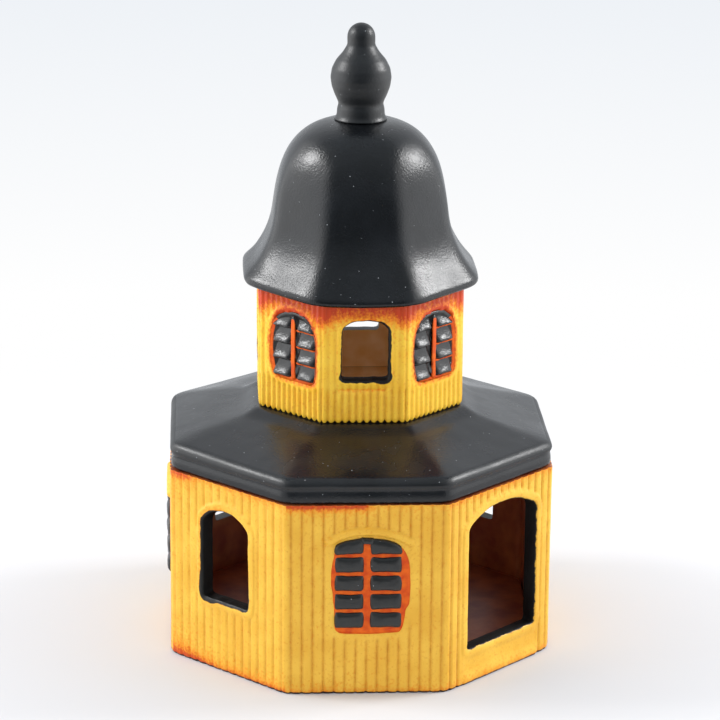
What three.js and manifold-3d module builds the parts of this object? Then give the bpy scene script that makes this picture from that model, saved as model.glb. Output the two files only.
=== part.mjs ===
// A glazed ceramic gazebo that shelters a tealight. An eight-sided lower storey with a doorway carries
// a black skirt roof, a smaller lantern storey and a bell-shaped roof that lifts off by its finial.
// Millimetres, +Z up, origin at the middle of the foot, doorway facing -Y.
import * as THREE from "three";
import { mergeVertices } from "three/addons/utils/BufferGeometryUtils.js";
import Module from "manifold-3d";

const wasm = await Module();
wasm.setup();

// Plan and fits
const SIDES = 8;
const SEAM = 0.3; // bedding gap between two fired pieces
const LID_PLAY = 1.2; // room round the roof's lip inside the lantern

// Tealight
const CUP_DIAMETER = 38;
const CUP_HEIGHT = 15;
const CUP_SHEET = 0.5;
const CUP_DRAFT = 0.4; // the cup is a little narrower at its foot
const WAX_FREEBOARD = 2; // bare cup above the wax
const WICK_DIAMETER = 2;
const WICK_SHOWING = 6;
const TAB_DIAMETER = 13;
const TAB_SHEET = 0.6;
const TAB_NECK_HEIGHT = 4;
const TAB_NECK_WALL = 0.5;
const WAX_FIT = 0.2; // film between the wax and what it is cast against

// Lower storey
const BASE_APOTHEM = 76;
const LOWER_HEIGHT = 77.5;
const LOWER_TAPER = 0.2; // how far each wall leans in over its height
const WALL = 5.5;
const BASE_CORNER_RADIUS = 9;
const TOP_CORNER_RADIUS = 4;
const BOARD_PITCH = 4.3;
const LOWER_GROOVE_WIDTH = 1.4;
const LOWER_GROOVE_DEPTH = 0.6;
const FOOT_LEDGE_HEIGHT = 2.2;
const FOOT_LEDGE_WIDTH = 5;
const FLOOR_THICKNESS = 5;

// Doorway and open windows of the lower storey
const DOOR_PASSAGE = 1.9; // room each side of a tealight on its way through the doorway
const DOOR_SILL = 14.5;
const DOOR_LINTEL = 6;
const DOOR_ARCH_RISE = 6.5;
const APRON_BOTTOM = 6;
const WINDOW_WIDTH = 25;
const WINDOW_SILL = 30.2;
const WINDOW_LINTEL = 9;
const WINDOW_ARCH_RISE = 6;
const ARCHITRAVE_WIDTH = 2.8;
const ARCHITRAVE_PROUD = 0.7;
const ARCHITRAVE_ROOT = 1.6; // how deep raised work is rooted in the wall

// Blind windows: black panes behind a sash of orange bars, in a pocket in the wall
const PANE_BACK = 1;
const SASH_THICKNESS = 0.7;
const SASH_RECESS = 0.5; // how far the sash lies behind the face of the boards
const PANE_PROUD = 0.5; // how far the panes stand in front of the boards
const PANE_SLOPE = 0.9; // how far a pane draws in towards its crown
const SASH_FIT = 0.25;
const LOWER_BLIND = {
  width: 29.6,
  sill: 27,
  lintel: 11,
  archRise: 5.4,
  rows: 5,
  rowGrowth: 1.09,
  stile: 1.5,
  bottomRail: 2.2,
  topRail: 0.7,
  mullion: 2,
  bar: 1.7,
};
const LANTERN_BLIND = {
  width: 22.8,
  sill: 14.5,
  lintel: 7.5,
  archRise: 5.6,
  rows: 4,
  rowGrowth: 1.06,
  stile: 1.3,
  bottomRail: 1.2,
  topRail: 0.6,
  mullion: 1.7,
  bar: 1.1,
};
const HOOD_WIDTH = 2.4;
const HOOD_PROUD = 1.7;
const HOOD_GAP = 0.8; // wall left between the pocket and the hood

// Skirt roof
const FASCIA_SETBACK = 0.4;
const FASCIA_HEIGHT = 6.2;
const FASCIA_THICKNESS = 5.2;
const EAVE_NOTCH = 0.7;
const EAVE_ROLL_RADIUS = 1.8;
const EAVE_ROLL_SWEEP = { from: -60, to: 90, steps: 5 }; // degrees above the horizontal
const EAVE_OVERHANG = 0.3; // how far the roll passes the head of the wall
const SKIRT_RISE = 11.2;
const SKIRT_THICKNESS = 5.2;
const SKIRT_CORNER_RADIUS = 3;
const SKIRT_LAND = 1; // flat ring left outside the lantern
const SKIRT_COVE_WIDTH = 4;
const SKIRT_COVE_DROP = 1.2;

// Lantern storey
const LANTERN_APOTHEM = 40.5;
const LANTERN_HEIGHT = 49.5;
const LANTERN_WALL = 5.3;
const LANTERN_CORNER_RADIUS = 2.5;
const LANTERN_REED_PITCH = 2.57;
const LANTERN_REED_DEPTH = 0.6;
const LANTERN_PLAIN_BAND = 5; // smooth wall between the reeds and the cornice
const CORNICE_HEIGHT = 3;
const CORNICE_PROUD = 0.5;
const LANTERN_WINDOW_WIDTH = 18.6;
const LANTERN_WINDOW_SILL = 16.6;
const LANTERN_WINDOW_LINTEL = 8.2;
const LANTERN_WINDOW_ARCH_RISE = 3.5;
const LANTERN_ARCHITRAVE_WIDTH = 1.8;
const LANTERN_ARCHITRAVE_PROUD = 0.4;

// Bell roof
const BELL_OVERHANG = 6.3; // how far the eave passes the lantern
const BELL_EAVE_RADIUS = 1.6;
const BELL_EAVE_SWEEP = { from: -90, to: 50, steps: 2 }; // degrees above the horizontal
const BELL_WAIST_APOTHEM = 34.6;
const BELL_WAIST_HEIGHT = 26.7;
const BELL_HEIGHT = 62.7;
const BELL_WALL = 5;
const BELL_HIP_RADIUS = 5;
const BELL_LIP_HEIGHT = 5;
const BELL_LIP_THICKNESS = 3;
const BELL_SHARES = [-0.44, -0.2, 0.2, 0.44, 0.5]; // stations across each face of the bell

// Finial
const FINIAL_BASE_RADIUS = 10.2;
const FINIAL_COLLAR = { radius: 9.35, rise: 2.2 };
const FINIAL_NECK = { radius: 8.7, rise: 3.4 };
const FINIAL_HIP = { radius: 10.15, rise: 4.4 };
const FINIAL_BULB = { radius: 11.5, rise: 6.4 };
const FINIAL_SHOULDER = { radius: 9.2, rise: 7.1 };
const FINIAL_TIP_NECK = { radius: 5.3, rise: 6.1 };
const FINIAL_TIP = { radius: 5.45, rise: 2.6 };
const FINIAL_CAP = { radius: 3.3, rise: 4.4 };
const FINIAL_CAP_RISE = 1.4;
const TENON_RADIUS = 4;
const TENON_LENGTH = 4.2;

// How finely curves are faceted
const ARCH_SEGMENTS = 5;
const BELL_STEPS = 5;
const HOLLOW_STEPS = 3;
const TURNED_SEGMENTS = 24;
const FINIAL_STEPS = 15;
const THROUGH = 4; // how far a cutting shape reaches past the faces it cuts

// Levels and widths that follow from the sizes above
const FACE_ANGLE = (2 * Math.PI) / SIDES;
const LOWER_LEAN = Math.atan2(LOWER_TAPER, LOWER_HEIGHT);
const HEAD_APOTHEM = BASE_APOTHEM - LOWER_TAPER;
const FLOOR_BOTTOM = FOOT_LEDGE_HEIGHT + SEAM;
const FLOOR_TOP = FLOOR_BOTTOM + FLOOR_THICKNESS;
const SKIRT_BOTTOM = LOWER_HEIGHT + SEAM;
const SKIRT_TOP = SKIRT_BOTTOM + FASCIA_HEIGHT + 2 * EAVE_ROLL_RADIUS + SKIRT_RISE;
const LANTERN_BOTTOM = SKIRT_TOP + SEAM;
const LANTERN_TOP = LANTERN_BOTTOM + LANTERN_HEIGHT;
const LANTERN_INNER = LANTERN_APOTHEM - LANTERN_WALL;
const BELL_BOTTOM = LANTERN_TOP + SEAM;
const BELL_TOP = BELL_BOTTOM + BELL_HEIGHT;
const POCKET_DEPTH = SASH_RECESS + SASH_THICKNESS + PANE_BACK + 2 * SEAM;
const DOOR_WIDTH = CUP_DIAMETER + 2 * DOOR_PASSAGE;

const SIDE_NAMES = [
  "front", "front_right", "right", "back_right", "back", "back_left", "left", "front_left",
];

const COLOURS = {
  yellowGlaze: { color: 0xe9b44c, roughness: 0.42, metalness: 0 },
  orangeGlaze: { color: 0xcf5a1c, roughness: 0.45, metalness: 0 },
  blackGlaze: { color: 0x24272a, roughness: 0.3, metalness: 0 },
  paneGlaze: { color: 0x3b3c3b, roughness: 0.35, metalness: 0 },
  brownGlaze: { color: 0x5a2f14, roughness: 0.35, metalness: 0 },
  aluminium: { color: 0xc9ccd0, roughness: 0.35, metalness: 1 },
  wax: { color: 0xf3efe4, roughness: 0.5, metalness: 0 },
  cotton: { color: 0xe6dfcc, roughness: 0.9, metalness: 0 },
  tinplate: { color: 0xb4b6b8, roughness: 0.4, metalness: 1 },
};

const gazebo = new THREE.Group();
gazebo.name = "gazebo_candle_holder";

function addMesh(parent, name, geometry, colour) {
  geometry.computeVertexNormals();
  const mesh = new THREE.Mesh(geometry, new THREE.MeshStandardMaterial(COLOURS[colour]));
  mesh.name = name;
  parent.add(mesh);
}

// A closed geometry as a solid that can be joined and cut.
function solidOf(geometry) {
  const bare = geometry.clone();
  bare.deleteAttribute("normal");
  bare.deleteAttribute("uv");
  const merged = mergeVertices(bare);
  return new wasm.Manifold(
    new wasm.Mesh({
      numProp: 3,
      vertProperties: merged.attributes.position.array,
      triVerts: new Uint32Array(merged.index.array),
    }),
  );
}

function geometryOf(solid) {
  const mesh = solid.getMesh();
  const geometry = new THREE.BufferGeometry();
  geometry.setAttribute("position", new THREE.BufferAttribute(mesh.vertProperties, 3));
  geometry.setIndex(new THREE.BufferAttribute(mesh.triVerts, 1));
  return geometry;
}

// Joins rings of equal count into one closed surface. Rings run anticlockwise seen from above.
// A tube closes on its first ring, and a capped loft gets a flat face on its first and last ring.
function loft(rings, isTube) {
  const count = rings[0].length;
  const corners = rings.flat();
  const indices = [];
  const spans = isTube ? rings.length : rings.length - 1;
  for (let i = 0; i < spans; i += 1) {
    const low = i * count;
    const high = ((i + 1) % rings.length) * count;
    for (let j = 0; j < count; j += 1) {
      const next = (j + 1) % count;
      indices.push(low + j, low + next, high + next);
      indices.push(low + j, high + next, high + j);
    }
  }
  if (!isTube) {
    const lastStart = (rings.length - 1) * count;
    const bottom = THREE.ShapeUtils.triangulateShape(rings[0], []);
    const top = THREE.ShapeUtils.triangulateShape(rings[rings.length - 1], []);
    bottom.forEach(([a, b, c]) => indices.push(c, b, a));
    top.forEach(([a, b, c]) => indices.push(lastStart + a, lastStart + b, lastStart + c));
  }
  const geometry = new THREE.BufferGeometry().setFromPoints(corners);
  geometry.setIndex(indices);
  return geometry;
}

// The flat part of one face of a round-cornered octagon, and its girth with half of each corner.
function faceSpan(apothem, cornerRadius) {
  const flat = 2 * (apothem - cornerRadius) * Math.tan(FACE_ANGLE / 2);
  return { flat, girth: flat + cornerRadius * FACE_ANGLE };
}

// One point on a round-cornered octagon, at a share of a face's girth from that face's middle.
function girthPoint(apothem, cornerRadius, z, face, share, inset) {
  const { flat, girth } = faceSpan(apothem, cornerRadius);
  const along = share * girth;
  const across = THREE.MathUtils.clamp(along, -flat / 2, flat / 2);
  const turn = cornerRadius > 0 ? (along - across) / cornerRadius : 0;
  const reach = cornerRadius - inset;
  const right = across + reach * Math.sin(turn);
  const out = apothem - cornerRadius + reach * Math.cos(turn);
  const heading = face * FACE_ANGLE;
  return new THREE.Vector3(
    right * Math.cos(heading) + out * Math.sin(heading),
    right * Math.sin(heading) - out * Math.cos(heading),
    z,
  );
}

function ring(apothem, cornerRadius, z, stations) {
  const points = [];
  for (let face = 0; face < SIDES; face += 1) {
    stations.forEach(({ share, inset }) => {
      points.push(girthPoint(apothem, cornerRadius, z, face, share, inset));
    });
  }
  return points;
}

function plainRing(apothem, cornerRadius, z) {
  const { flat, girth } = faceSpan(apothem, cornerRadius);
  const edge = flat / 2 / girth;
  return ring(apothem, cornerRadius, z, [-edge, edge, 0.5].map((share) => ({ share, inset: 0 })));
}

// A ring of boards: each groove is a V of three stations, and a board wraps each corner.
function boardRing(apothem, cornerRadius, z, grooves, width, depth) {
  const { girth } = faceSpan(apothem, cornerRadius);
  const stations = [];
  for (let i = 0; i < grooves; i += 1) {
    const middle = (i + 0.5) / grooves - 0.5;
    stations.push({ share: middle - width / 2 / girth, inset: 0 });
    stations.push({ share: middle, inset: depth });
    stations.push({ share: middle + width / 2 / girth, inset: 0 });
  }
  return ring(apothem, cornerRadius, z, stations);
}

// A ring of reeds: ridge and groove by turns, with a ridge on each corner.
function reedRing(apothem, cornerRadius, z, reeds, depth) {
  const stations = [];
  for (let i = 0; i < reeds; i += 1) {
    stations.push({ share: (i + 0.5) / reeds - 0.5, inset: depth });
    stations.push({ share: (i + 1) / reeds - 0.5, inset: 0 });
  }
  return ring(apothem, cornerRadius, z, stations);
}

function plainPrism(rows) {
  return solidOf(loft(rows.map(([apothem, radius, z]) => plainRing(apothem, radius, z)), false));
}

// The frame of one face: X to the right seen from outside, Y up the wall, Z out of it.
function faceMatrix(face, apothem, lean, z) {
  const heading = new THREE.Matrix4().makeRotationZ(face * FACE_ANGLE);
  const stand = new THREE.Matrix4().makeRotationX(Math.PI / 2 - lean);
  const place = new THREE.Matrix4().makeTranslation(0, -apothem, z);
  return heading.multiply(place).multiply(stand);
}

const lowerFace = (face) => faceMatrix(face, BASE_APOTHEM, LOWER_LEAN, 0);
const lanternFace = (face) => faceMatrix(face, LANTERN_APOTHEM, 0, LANTERN_BOTTOM);

// The circle of a segmental arch from its half width and the levels of its springing and crown.
function archCircle({ half, spring, crown }) {
  const rise = crown - spring;
  const radius = (half * half + rise * rise) / (2 * rise);
  const sweep = Math.asin(half / radius);
  return { radius, centre: crown - radius, sweep };
}

function archHeight(arch, x) {
  const { radius, centre } = archCircle(arch);
  return centre + Math.sqrt(radius * radius - x * x);
}

function archShape(arch) {
  const { radius, centre, sweep } = archCircle(arch);
  const shape = new THREE.Shape();
  shape.moveTo(-arch.half, arch.bottom);
  shape.lineTo(arch.half, arch.bottom);
  shape.absarc(0, centre, radius, Math.PI / 2 - sweep, Math.PI / 2 + sweep, false);
  shape.closePath();
  return shape;
}

// An arch grown on all sides, with the level of its foot given on its own.
function grownArch(arch, by, bottom) {
  return { half: arch.half + by, bottom, spring: arch.spring, crown: arch.crown + by };
}

function archBand(arch, width) {
  const { radius, centre, sweep } = archCircle(arch);
  const shape = new THREE.Shape();
  shape.absarc(0, centre, radius + width, Math.PI / 2 + sweep, Math.PI / 2 - sweep, true);
  shape.absarc(0, centre, radius, Math.PI / 2 - sweep, Math.PI / 2 + sweep, false);
  shape.closePath();
  return shape;
}

// A shape drawn on a face and given thickness from one depth to another along the outward normal.
function plate(shape, from, to) {
  const geometry = new THREE.ExtrudeGeometry(shape, {
    depth: to - from,
    bevelEnabled: false,
    curveSegments: ARCH_SEGMENTS,
  });
  return geometry.translate(0, 0, from);
}

function plateOnFace(shape, from, to, matrix) {
  return solidOf(plate(shape, from, to).applyMatrix4(matrix));
}

const doorArch = {
  half: DOOR_WIDTH / 2,
  bottom: DOOR_SILL,
  spring: LOWER_HEIGHT - DOOR_LINTEL - DOOR_ARCH_RISE,
  crown: LOWER_HEIGHT - DOOR_LINTEL,
};
const windowArch = {
  half: WINDOW_WIDTH / 2,
  bottom: WINDOW_SILL,
  spring: LOWER_HEIGHT - WINDOW_LINTEL - WINDOW_ARCH_RISE,
  crown: LOWER_HEIGHT - WINDOW_LINTEL,
};
const lanternWindowArch = {
  half: LANTERN_WINDOW_WIDTH / 2,
  bottom: LANTERN_WINDOW_SILL,
  spring: LANTERN_HEIGHT - LANTERN_WINDOW_LINTEL - LANTERN_WINDOW_ARCH_RISE,
  crown: LANTERN_HEIGHT - LANTERN_WINDOW_LINTEL,
};

function blindArch(blind, storeyHeight) {
  return {
    half: blind.width / 2,
    bottom: blind.sill,
    spring: storeyHeight - blind.lintel - blind.archRise,
    crown: storeyHeight - blind.lintel,
  };
}

const lowerBlindArch = blindArch(LOWER_BLIND, LOWER_HEIGHT);
const lanternBlindArch = blindArch(LANTERN_BLIND, LANTERN_HEIGHT);

// The pocket that a blind window sits in.
function pocket(arch, matrix) {
  const shape = archShape(grownArch(arch, SEAM, arch.bottom - SEAM));
  return plateOnFace(shape, -POCKET_DEPTH, THROUGH, matrix);
}

// A raised flat frame round an opening, then the opening itself through the wall.
function openWindow(wall, arch, frameBottom, width, proud, thickness, matrix) {
  const frame = archShape(grownArch(arch, width, frameBottom));
  const framed = wall.add(plateOnFace(frame, -ARCHITRAVE_ROOT, proud, matrix));
  return framed.subtract(plateOnFace(archShape(arch), -thickness - THROUGH, THROUGH, matrix));
}

function buildLowerStorey() {
  const { girth } = faceSpan(BASE_APOTHEM, BASE_CORNER_RADIUS);
  const grooves = Math.round(girth / BOARD_PITCH);
  const boards = (apothem, radius, z) =>
    boardRing(apothem, radius, z, grooves, LOWER_GROOVE_WIDTH, LOWER_GROOVE_DEPTH);
  const outer = loft(
    [
      boards(BASE_APOTHEM, BASE_CORNER_RADIUS, 0),
      boards(HEAD_APOTHEM, TOP_CORNER_RADIUS, LOWER_HEIGHT),
    ],
    false,
  );
  const room = plainPrism([
    [BASE_APOTHEM - WALL, BASE_CORNER_RADIUS, FOOT_LEDGE_HEIGHT],
    [HEAD_APOTHEM - WALL, TOP_CORNER_RADIUS, LOWER_HEIGHT],
    [HEAD_APOTHEM - WALL, TOP_CORNER_RADIUS, LOWER_HEIGHT + THROUGH],
  ]);
  const footHole = plainPrism([
    [BASE_APOTHEM - WALL - FOOT_LEDGE_WIDTH, BASE_CORNER_RADIUS, -THROUGH],
    [BASE_APOTHEM - WALL - FOOT_LEDGE_WIDTH, BASE_CORNER_RADIUS, FOOT_LEDGE_HEIGHT + SEAM],
  ]);
  let wall = solidOf(outer).subtract(room).subtract(footHole);
  const hoodArch = grownArch(lowerBlindArch, HOOD_GAP, lowerBlindArch.bottom);
  for (let face = 0; face < SIDES; face += 1) {
    const matrix = lowerFace(face);
    if (face % 2 === 1) {
      const hood = archBand(hoodArch, HOOD_WIDTH);
      wall = wall.add(plateOnFace(hood, -ARCHITRAVE_ROOT, HOOD_PROUD, matrix));
      wall = wall.subtract(pocket(lowerBlindArch, matrix));
    } else {
      const arch = face === 0 ? doorArch : windowArch;
      const frameBottom = face === 0 ? APRON_BOTTOM : WINDOW_SILL - ARCHITRAVE_WIDTH;
      wall = openWindow(wall, arch, frameBottom, ARCHITRAVE_WIDTH, ARCHITRAVE_PROUD, WALL, matrix);
    }
  }
  addMesh(gazebo, "lower_storey", geometryOf(wall), "yellowGlaze");
}

function buildFloorPlate() {
  const edge = BASE_APOTHEM - WALL - LOWER_TAPER * (FLOOR_TOP / LOWER_HEIGHT) - SEAM;
  const floor = loft(
    [plainRing(edge, BASE_CORNER_RADIUS, FLOOR_BOTTOM), plainRing(edge, BASE_CORNER_RADIUS, FLOOR_TOP)],
    false,
  );
  addMesh(gazebo, "floor_plate", floor, "brownGlaze");
}

// Points along a rolled edge of a profile.
function rollPoints(centreApothem, centreLevel, radius, { from, to, steps }) {
  const points = [];
  for (let i = 0; i <= steps; i += 1) {
    const angle = THREE.MathUtils.degToRad(THREE.MathUtils.lerp(from, to, i / steps));
    points.push([centreApothem + radius * Math.cos(angle), centreLevel + radius * Math.sin(angle)]);
  }
  return points;
}

function buildSkirtRoof() {
  const fascia = HEAD_APOTHEM - FASCIA_SETBACK;
  const fasciaInside = fascia - FASCIA_THICKNESS;
  const rollBottom = SKIRT_BOTTOM + FASCIA_HEIGHT;
  const rollLevel = rollBottom + EAVE_ROLL_RADIUS;
  const rollCentre = HEAD_APOTHEM + EAVE_OVERHANG - EAVE_ROLL_RADIUS;
  const land = LANTERN_APOTHEM + SKIRT_LAND;
  const cove = land + SKIRT_COVE_WIDTH;
  const coveLevel = SKIRT_TOP - SKIRT_COVE_DROP;
  const slope = (SKIRT_RISE - SKIRT_COVE_DROP) / (rollCentre - cove);
  const underside = (apothem) => coveLevel - SKIRT_THICKNESS - slope * (apothem - cove);
  const profile = [
    [fascia, SKIRT_BOTTOM],
    [fascia, rollBottom - EAVE_NOTCH],
    [fascia - EAVE_NOTCH, rollBottom],
    ...rollPoints(rollCentre, rollLevel, EAVE_ROLL_RADIUS, EAVE_ROLL_SWEEP),
    [cove, coveLevel],
    [land, SKIRT_TOP],
    [LANTERN_INNER, SKIRT_TOP],
    [LANTERN_INNER, underside(land)],
    [land, underside(land)],
    [fasciaInside, underside(fasciaInside)],
    [fasciaInside, SKIRT_BOTTOM],
  ];
  const rings = profile.map(([apothem, z]) => plainRing(apothem, SKIRT_CORNER_RADIUS, z));
  addMesh(gazebo, "skirt_roof", loft(rings, true), "blackGlaze");
}

function buildLanternStorey() {
  const reedTop = LANTERN_TOP - CORNICE_HEIGHT - LANTERN_PLAIN_BAND;
  const { girth } = faceSpan(LANTERN_APOTHEM, LANTERN_CORNER_RADIUS);
  const count = Math.round(girth / LANTERN_REED_PITCH);
  const reeds = (z) =>
    reedRing(LANTERN_APOTHEM, LANTERN_CORNER_RADIUS, z, count, LANTERN_REED_DEPTH);
  const reeding = solidOf(loft([reeds(LANTERN_BOTTOM), reeds(reedTop)], false));
  const corniceBottom = LANTERN_TOP - CORNICE_HEIGHT;
  const head = plainPrism([
    [LANTERN_APOTHEM, LANTERN_CORNER_RADIUS, reedTop - LANTERN_REED_DEPTH],
    [LANTERN_APOTHEM, LANTERN_CORNER_RADIUS, corniceBottom],
    [LANTERN_APOTHEM + CORNICE_PROUD, LANTERN_CORNER_RADIUS, corniceBottom + CORNICE_PROUD],
    [LANTERN_APOTHEM + CORNICE_PROUD, LANTERN_CORNER_RADIUS, LANTERN_TOP],
  ]);
  const room = plainPrism([
    [LANTERN_INNER, LANTERN_CORNER_RADIUS, LANTERN_BOTTOM - THROUGH],
    [LANTERN_INNER, LANTERN_CORNER_RADIUS, LANTERN_TOP + THROUGH],
  ]);
  let wall = reeding.add(head).subtract(room);
  for (let face = 0; face < SIDES; face += 1) {
    const matrix = lanternFace(face);
    if (face % 2 === 0) {
      wall = wall.subtract(pocket(lanternBlindArch, matrix));
    } else {
      wall = openWindow(
        wall,
        lanternWindowArch,
        LANTERN_WINDOW_SILL - LANTERN_ARCHITRAVE_WIDTH,
        LANTERN_ARCHITRAVE_WIDTH,
        LANTERN_ARCHITRAVE_PROUD,
        LANTERN_WALL,
        matrix,
      );
    }
  }
  addMesh(gazebo, "lantern_storey", geometryOf(wall), "yellowGlaze");
}

// The outline of every pane of a blind window: two columns of rows that grow taller downwards,
// the top row cut to the arch.
function paneOutlines(blind, arch) {
  const outlines = [];
  const lowest = arch.bottom + blind.bottomRail;
  const topOfSide = archHeight(arch, arch.half - blind.stile) - blind.topRail;
  let shares = 0;
  for (let row = 0; row < blind.rows; row += 1) {
    shares += blind.rowGrowth ** row;
  }
  const topRow = (topOfSide - lowest - blind.bar * (blind.rows - 1)) / shares;
  let head = topOfSide;
  for (let row = 0; row < blind.rows; row += 1) {
    const height = topRow * blind.rowGrowth ** row;
    const foot = head - height;
    const level = head;
    const isArched = row === 0;
    const topAt = isArched ? (x) => archHeight(arch, x) - blind.topRail : () => level;
    for (const side of [-1, 1]) {
      const inner = blind.mullion / 2;
      const outer = arch.half - blind.stile;
      outlines.push({
        left: side < 0 ? -outer : inner,
        right: side < 0 ? -inner : outer,
        foot,
        topAt,
        isArched,
      });
    }
    head = foot - blind.bar;
  }
  return outlines;
}

// A pane's outline drawn in by an even margin, anticlockwise from its lower left corner.
function paneCorners({ left, right, foot, topAt, isArched }, margin) {
  const corners = [
    new THREE.Vector2(left + margin, foot + margin),
    new THREE.Vector2(right - margin, foot + margin),
  ];
  const middle = isArched ? [(left + right) / 2] : [];
  [right - margin, ...middle, left + margin].forEach((x) => {
    corners.push(new THREE.Vector2(x, topAt(x) - margin));
  });
  return corners;
}

// One blind window: a black back with its pillowed panes, and the sash whose openings they fill.
function buildBlindWindow(storey, side, blind, arch, matrix) {
  const window = new THREE.Group();
  window.applyMatrix4(matrix);
  gazebo.add(window);
  const backBottom = -POCKET_DEPTH + SEAM;
  const backTop = backBottom + PANE_BACK;
  const sashBottom = backTop + SEAM;
  const sashTop = sashBottom + SASH_THICKNESS;
  const outlines = paneOutlines(blind, arch);
  let panes = solidOf(plate(archShape(arch), backBottom, backTop));
  let sash = solidOf(plate(archShape(arch), sashBottom, sashTop));
  for (const outline of outlines) {
    const atLevel = (margin, z) =>
      paneCorners(outline, margin).map(({ x, y }) => new THREE.Vector3(x, y, z));
    const pillow = loft(
      [atLevel(SASH_FIT, backBottom + PANE_BACK / 2), atLevel(PANE_SLOPE, PANE_PROUD)],
      false,
    );
    const light = loft([atLevel(0, sashBottom - THROUGH), atLevel(0, sashTop + THROUGH)], false);
    panes = panes.add(solidOf(pillow));
    sash = sash.subtract(solidOf(light));
  }
  addMesh(window, `${storey}_panes_${side}`, geometryOf(panes), "paneGlaze");
  addMesh(window, `${storey}_sash_${side}`, geometryOf(sash), "orangeGlaze");
}

// A curve from one point of a profile to another, its two handles given as shares of the span.
function spanCurve(start, end, startHandle, endHandle, steps) {
  const span = new THREE.Vector2().subVectors(end, start);
  const curve = new THREE.CubicBezierCurve(
    start,
    new THREE.Vector2(start.x + span.x * startHandle.x, start.y + span.y * startHandle.y),
    new THREE.Vector2(end.x - span.x * endHandle.x, end.y - span.y * endHandle.y),
    end,
  );
  return curve.getPoints(steps);
}

function buildBellRoof() {
  const eaveApothem = LANTERN_APOTHEM + BELL_OVERHANG - BELL_EAVE_RADIUS;
  const eaveLevel = BELL_BOTTOM + BELL_EAVE_RADIUS;
  const eave = rollPoints(eaveApothem, eaveLevel, BELL_EAVE_RADIUS, BELL_EAVE_SWEEP).map(
    ([apothem, z]) => new THREE.Vector2(apothem, z),
  );
  const waist = new THREE.Vector2(BELL_WAIST_APOTHEM, BELL_BOTTOM + BELL_WAIST_HEIGHT);
  const crown = new THREE.Vector2(FINIAL_BASE_RADIUS, BELL_TOP);
  const socket = TENON_RADIUS + SEAM;
  const lipOutside = LANTERN_INNER - LID_PLAY;
  const lipInside = lipOutside - BELL_LIP_THICKNESS;
  const lipBottom = BELL_BOTTOM - BELL_LIP_HEIGHT;
  const innerWaist = new THREE.Vector2(Math.min(waist.x - BELL_WALL, lipInside), waist.y);
  const innerCrown = new THREE.Vector2(socket, BELL_TOP - BELL_WALL);
  const flareHandle = new THREE.Vector2(0.46, 0.2);
  const flareEndHandle = new THREE.Vector2(0.13, 0.42);
  const domeHandle = new THREE.Vector2(0.06, 0.33);
  const domeEndHandle = new THREE.Vector2(0.79, 0.1);
  const flare = spanCurve(eave[eave.length - 1], waist, flareHandle, flareEndHandle, BELL_STEPS);
  const dome = spanCurve(waist, crown, domeHandle, domeEndHandle, BELL_STEPS);
  const hollow = spanCurve(innerWaist, innerCrown, domeHandle, domeEndHandle, HOLLOW_STEPS);
  const profile = [
    new THREE.Vector2(lipInside, lipBottom),
    new THREE.Vector2(lipOutside, lipBottom),
    new THREE.Vector2(lipOutside, BELL_BOTTOM),
    ...eave,
    ...flare.slice(1),
    ...dome.slice(1),
    new THREE.Vector2(socket, BELL_TOP),
    ...hollow.reverse(),
  ];
  // The hips are crisp at the eave and melt into a round crown.
  const rings = profile.map(({ x, y }) => {
    const roundness = x <= crown.x ? 1 : THREE.MathUtils.smoothstep(y, waist.y, BELL_TOP);
    const hip = THREE.MathUtils.lerp(Math.min(BELL_HIP_RADIUS, x), x, roundness);
    return ring(x, hip, y, BELL_SHARES.map((share) => ({ share, inset: 0 })));
  });
  addMesh(gazebo, "bell_roof", loft(rings, true), "blackGlaze");
}

function buildFinial() {
  const bottom = BELL_TOP + SEAM;
  const outline = [new THREE.Vector2(FINIAL_BASE_RADIUS, bottom)];
  const members = [
    FINIAL_COLLAR,
    FINIAL_NECK,
    FINIAL_HIP,
    FINIAL_BULB,
    FINIAL_SHOULDER,
    FINIAL_TIP_NECK,
    FINIAL_TIP,
    FINIAL_CAP,
    { radius: 0, rise: FINIAL_CAP_RISE },
  ];
  let level = bottom;
  for (const { radius, rise } of members) {
    level += rise;
    outline.push(new THREE.Vector2(radius, level));
  }
  const turned = new THREE.SplineCurve(outline);
  const profile = [
    new THREE.Vector2(0, bottom - TENON_LENGTH),
    new THREE.Vector2(TENON_RADIUS, bottom - TENON_LENGTH),
    new THREE.Vector2(TENON_RADIUS, bottom),
    ...turned.getPoints(FINIAL_STEPS),
  ];
  profile[profile.length - 1].x = 0;
  const geometry = new THREE.LatheGeometry(profile, TURNED_SEGMENTS);
  addMesh(gazebo, "finial", turnedUp(geometry), "blackGlaze");
}

// A lathe turns about Y, and here every turned piece stands on Z.
function turnedUp(geometry) {
  geometry.rotateX(Math.PI / 2);
  return geometryOf(solidOf(geometry));
}

function turnedPiece(name, points, colour) {
  const profile = points.map(([radius, z]) => new THREE.Vector2(radius, z));
  addMesh(gazebo, name, turnedUp(new THREE.LatheGeometry(profile, TURNED_SEGMENTS)), colour);
}

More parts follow.
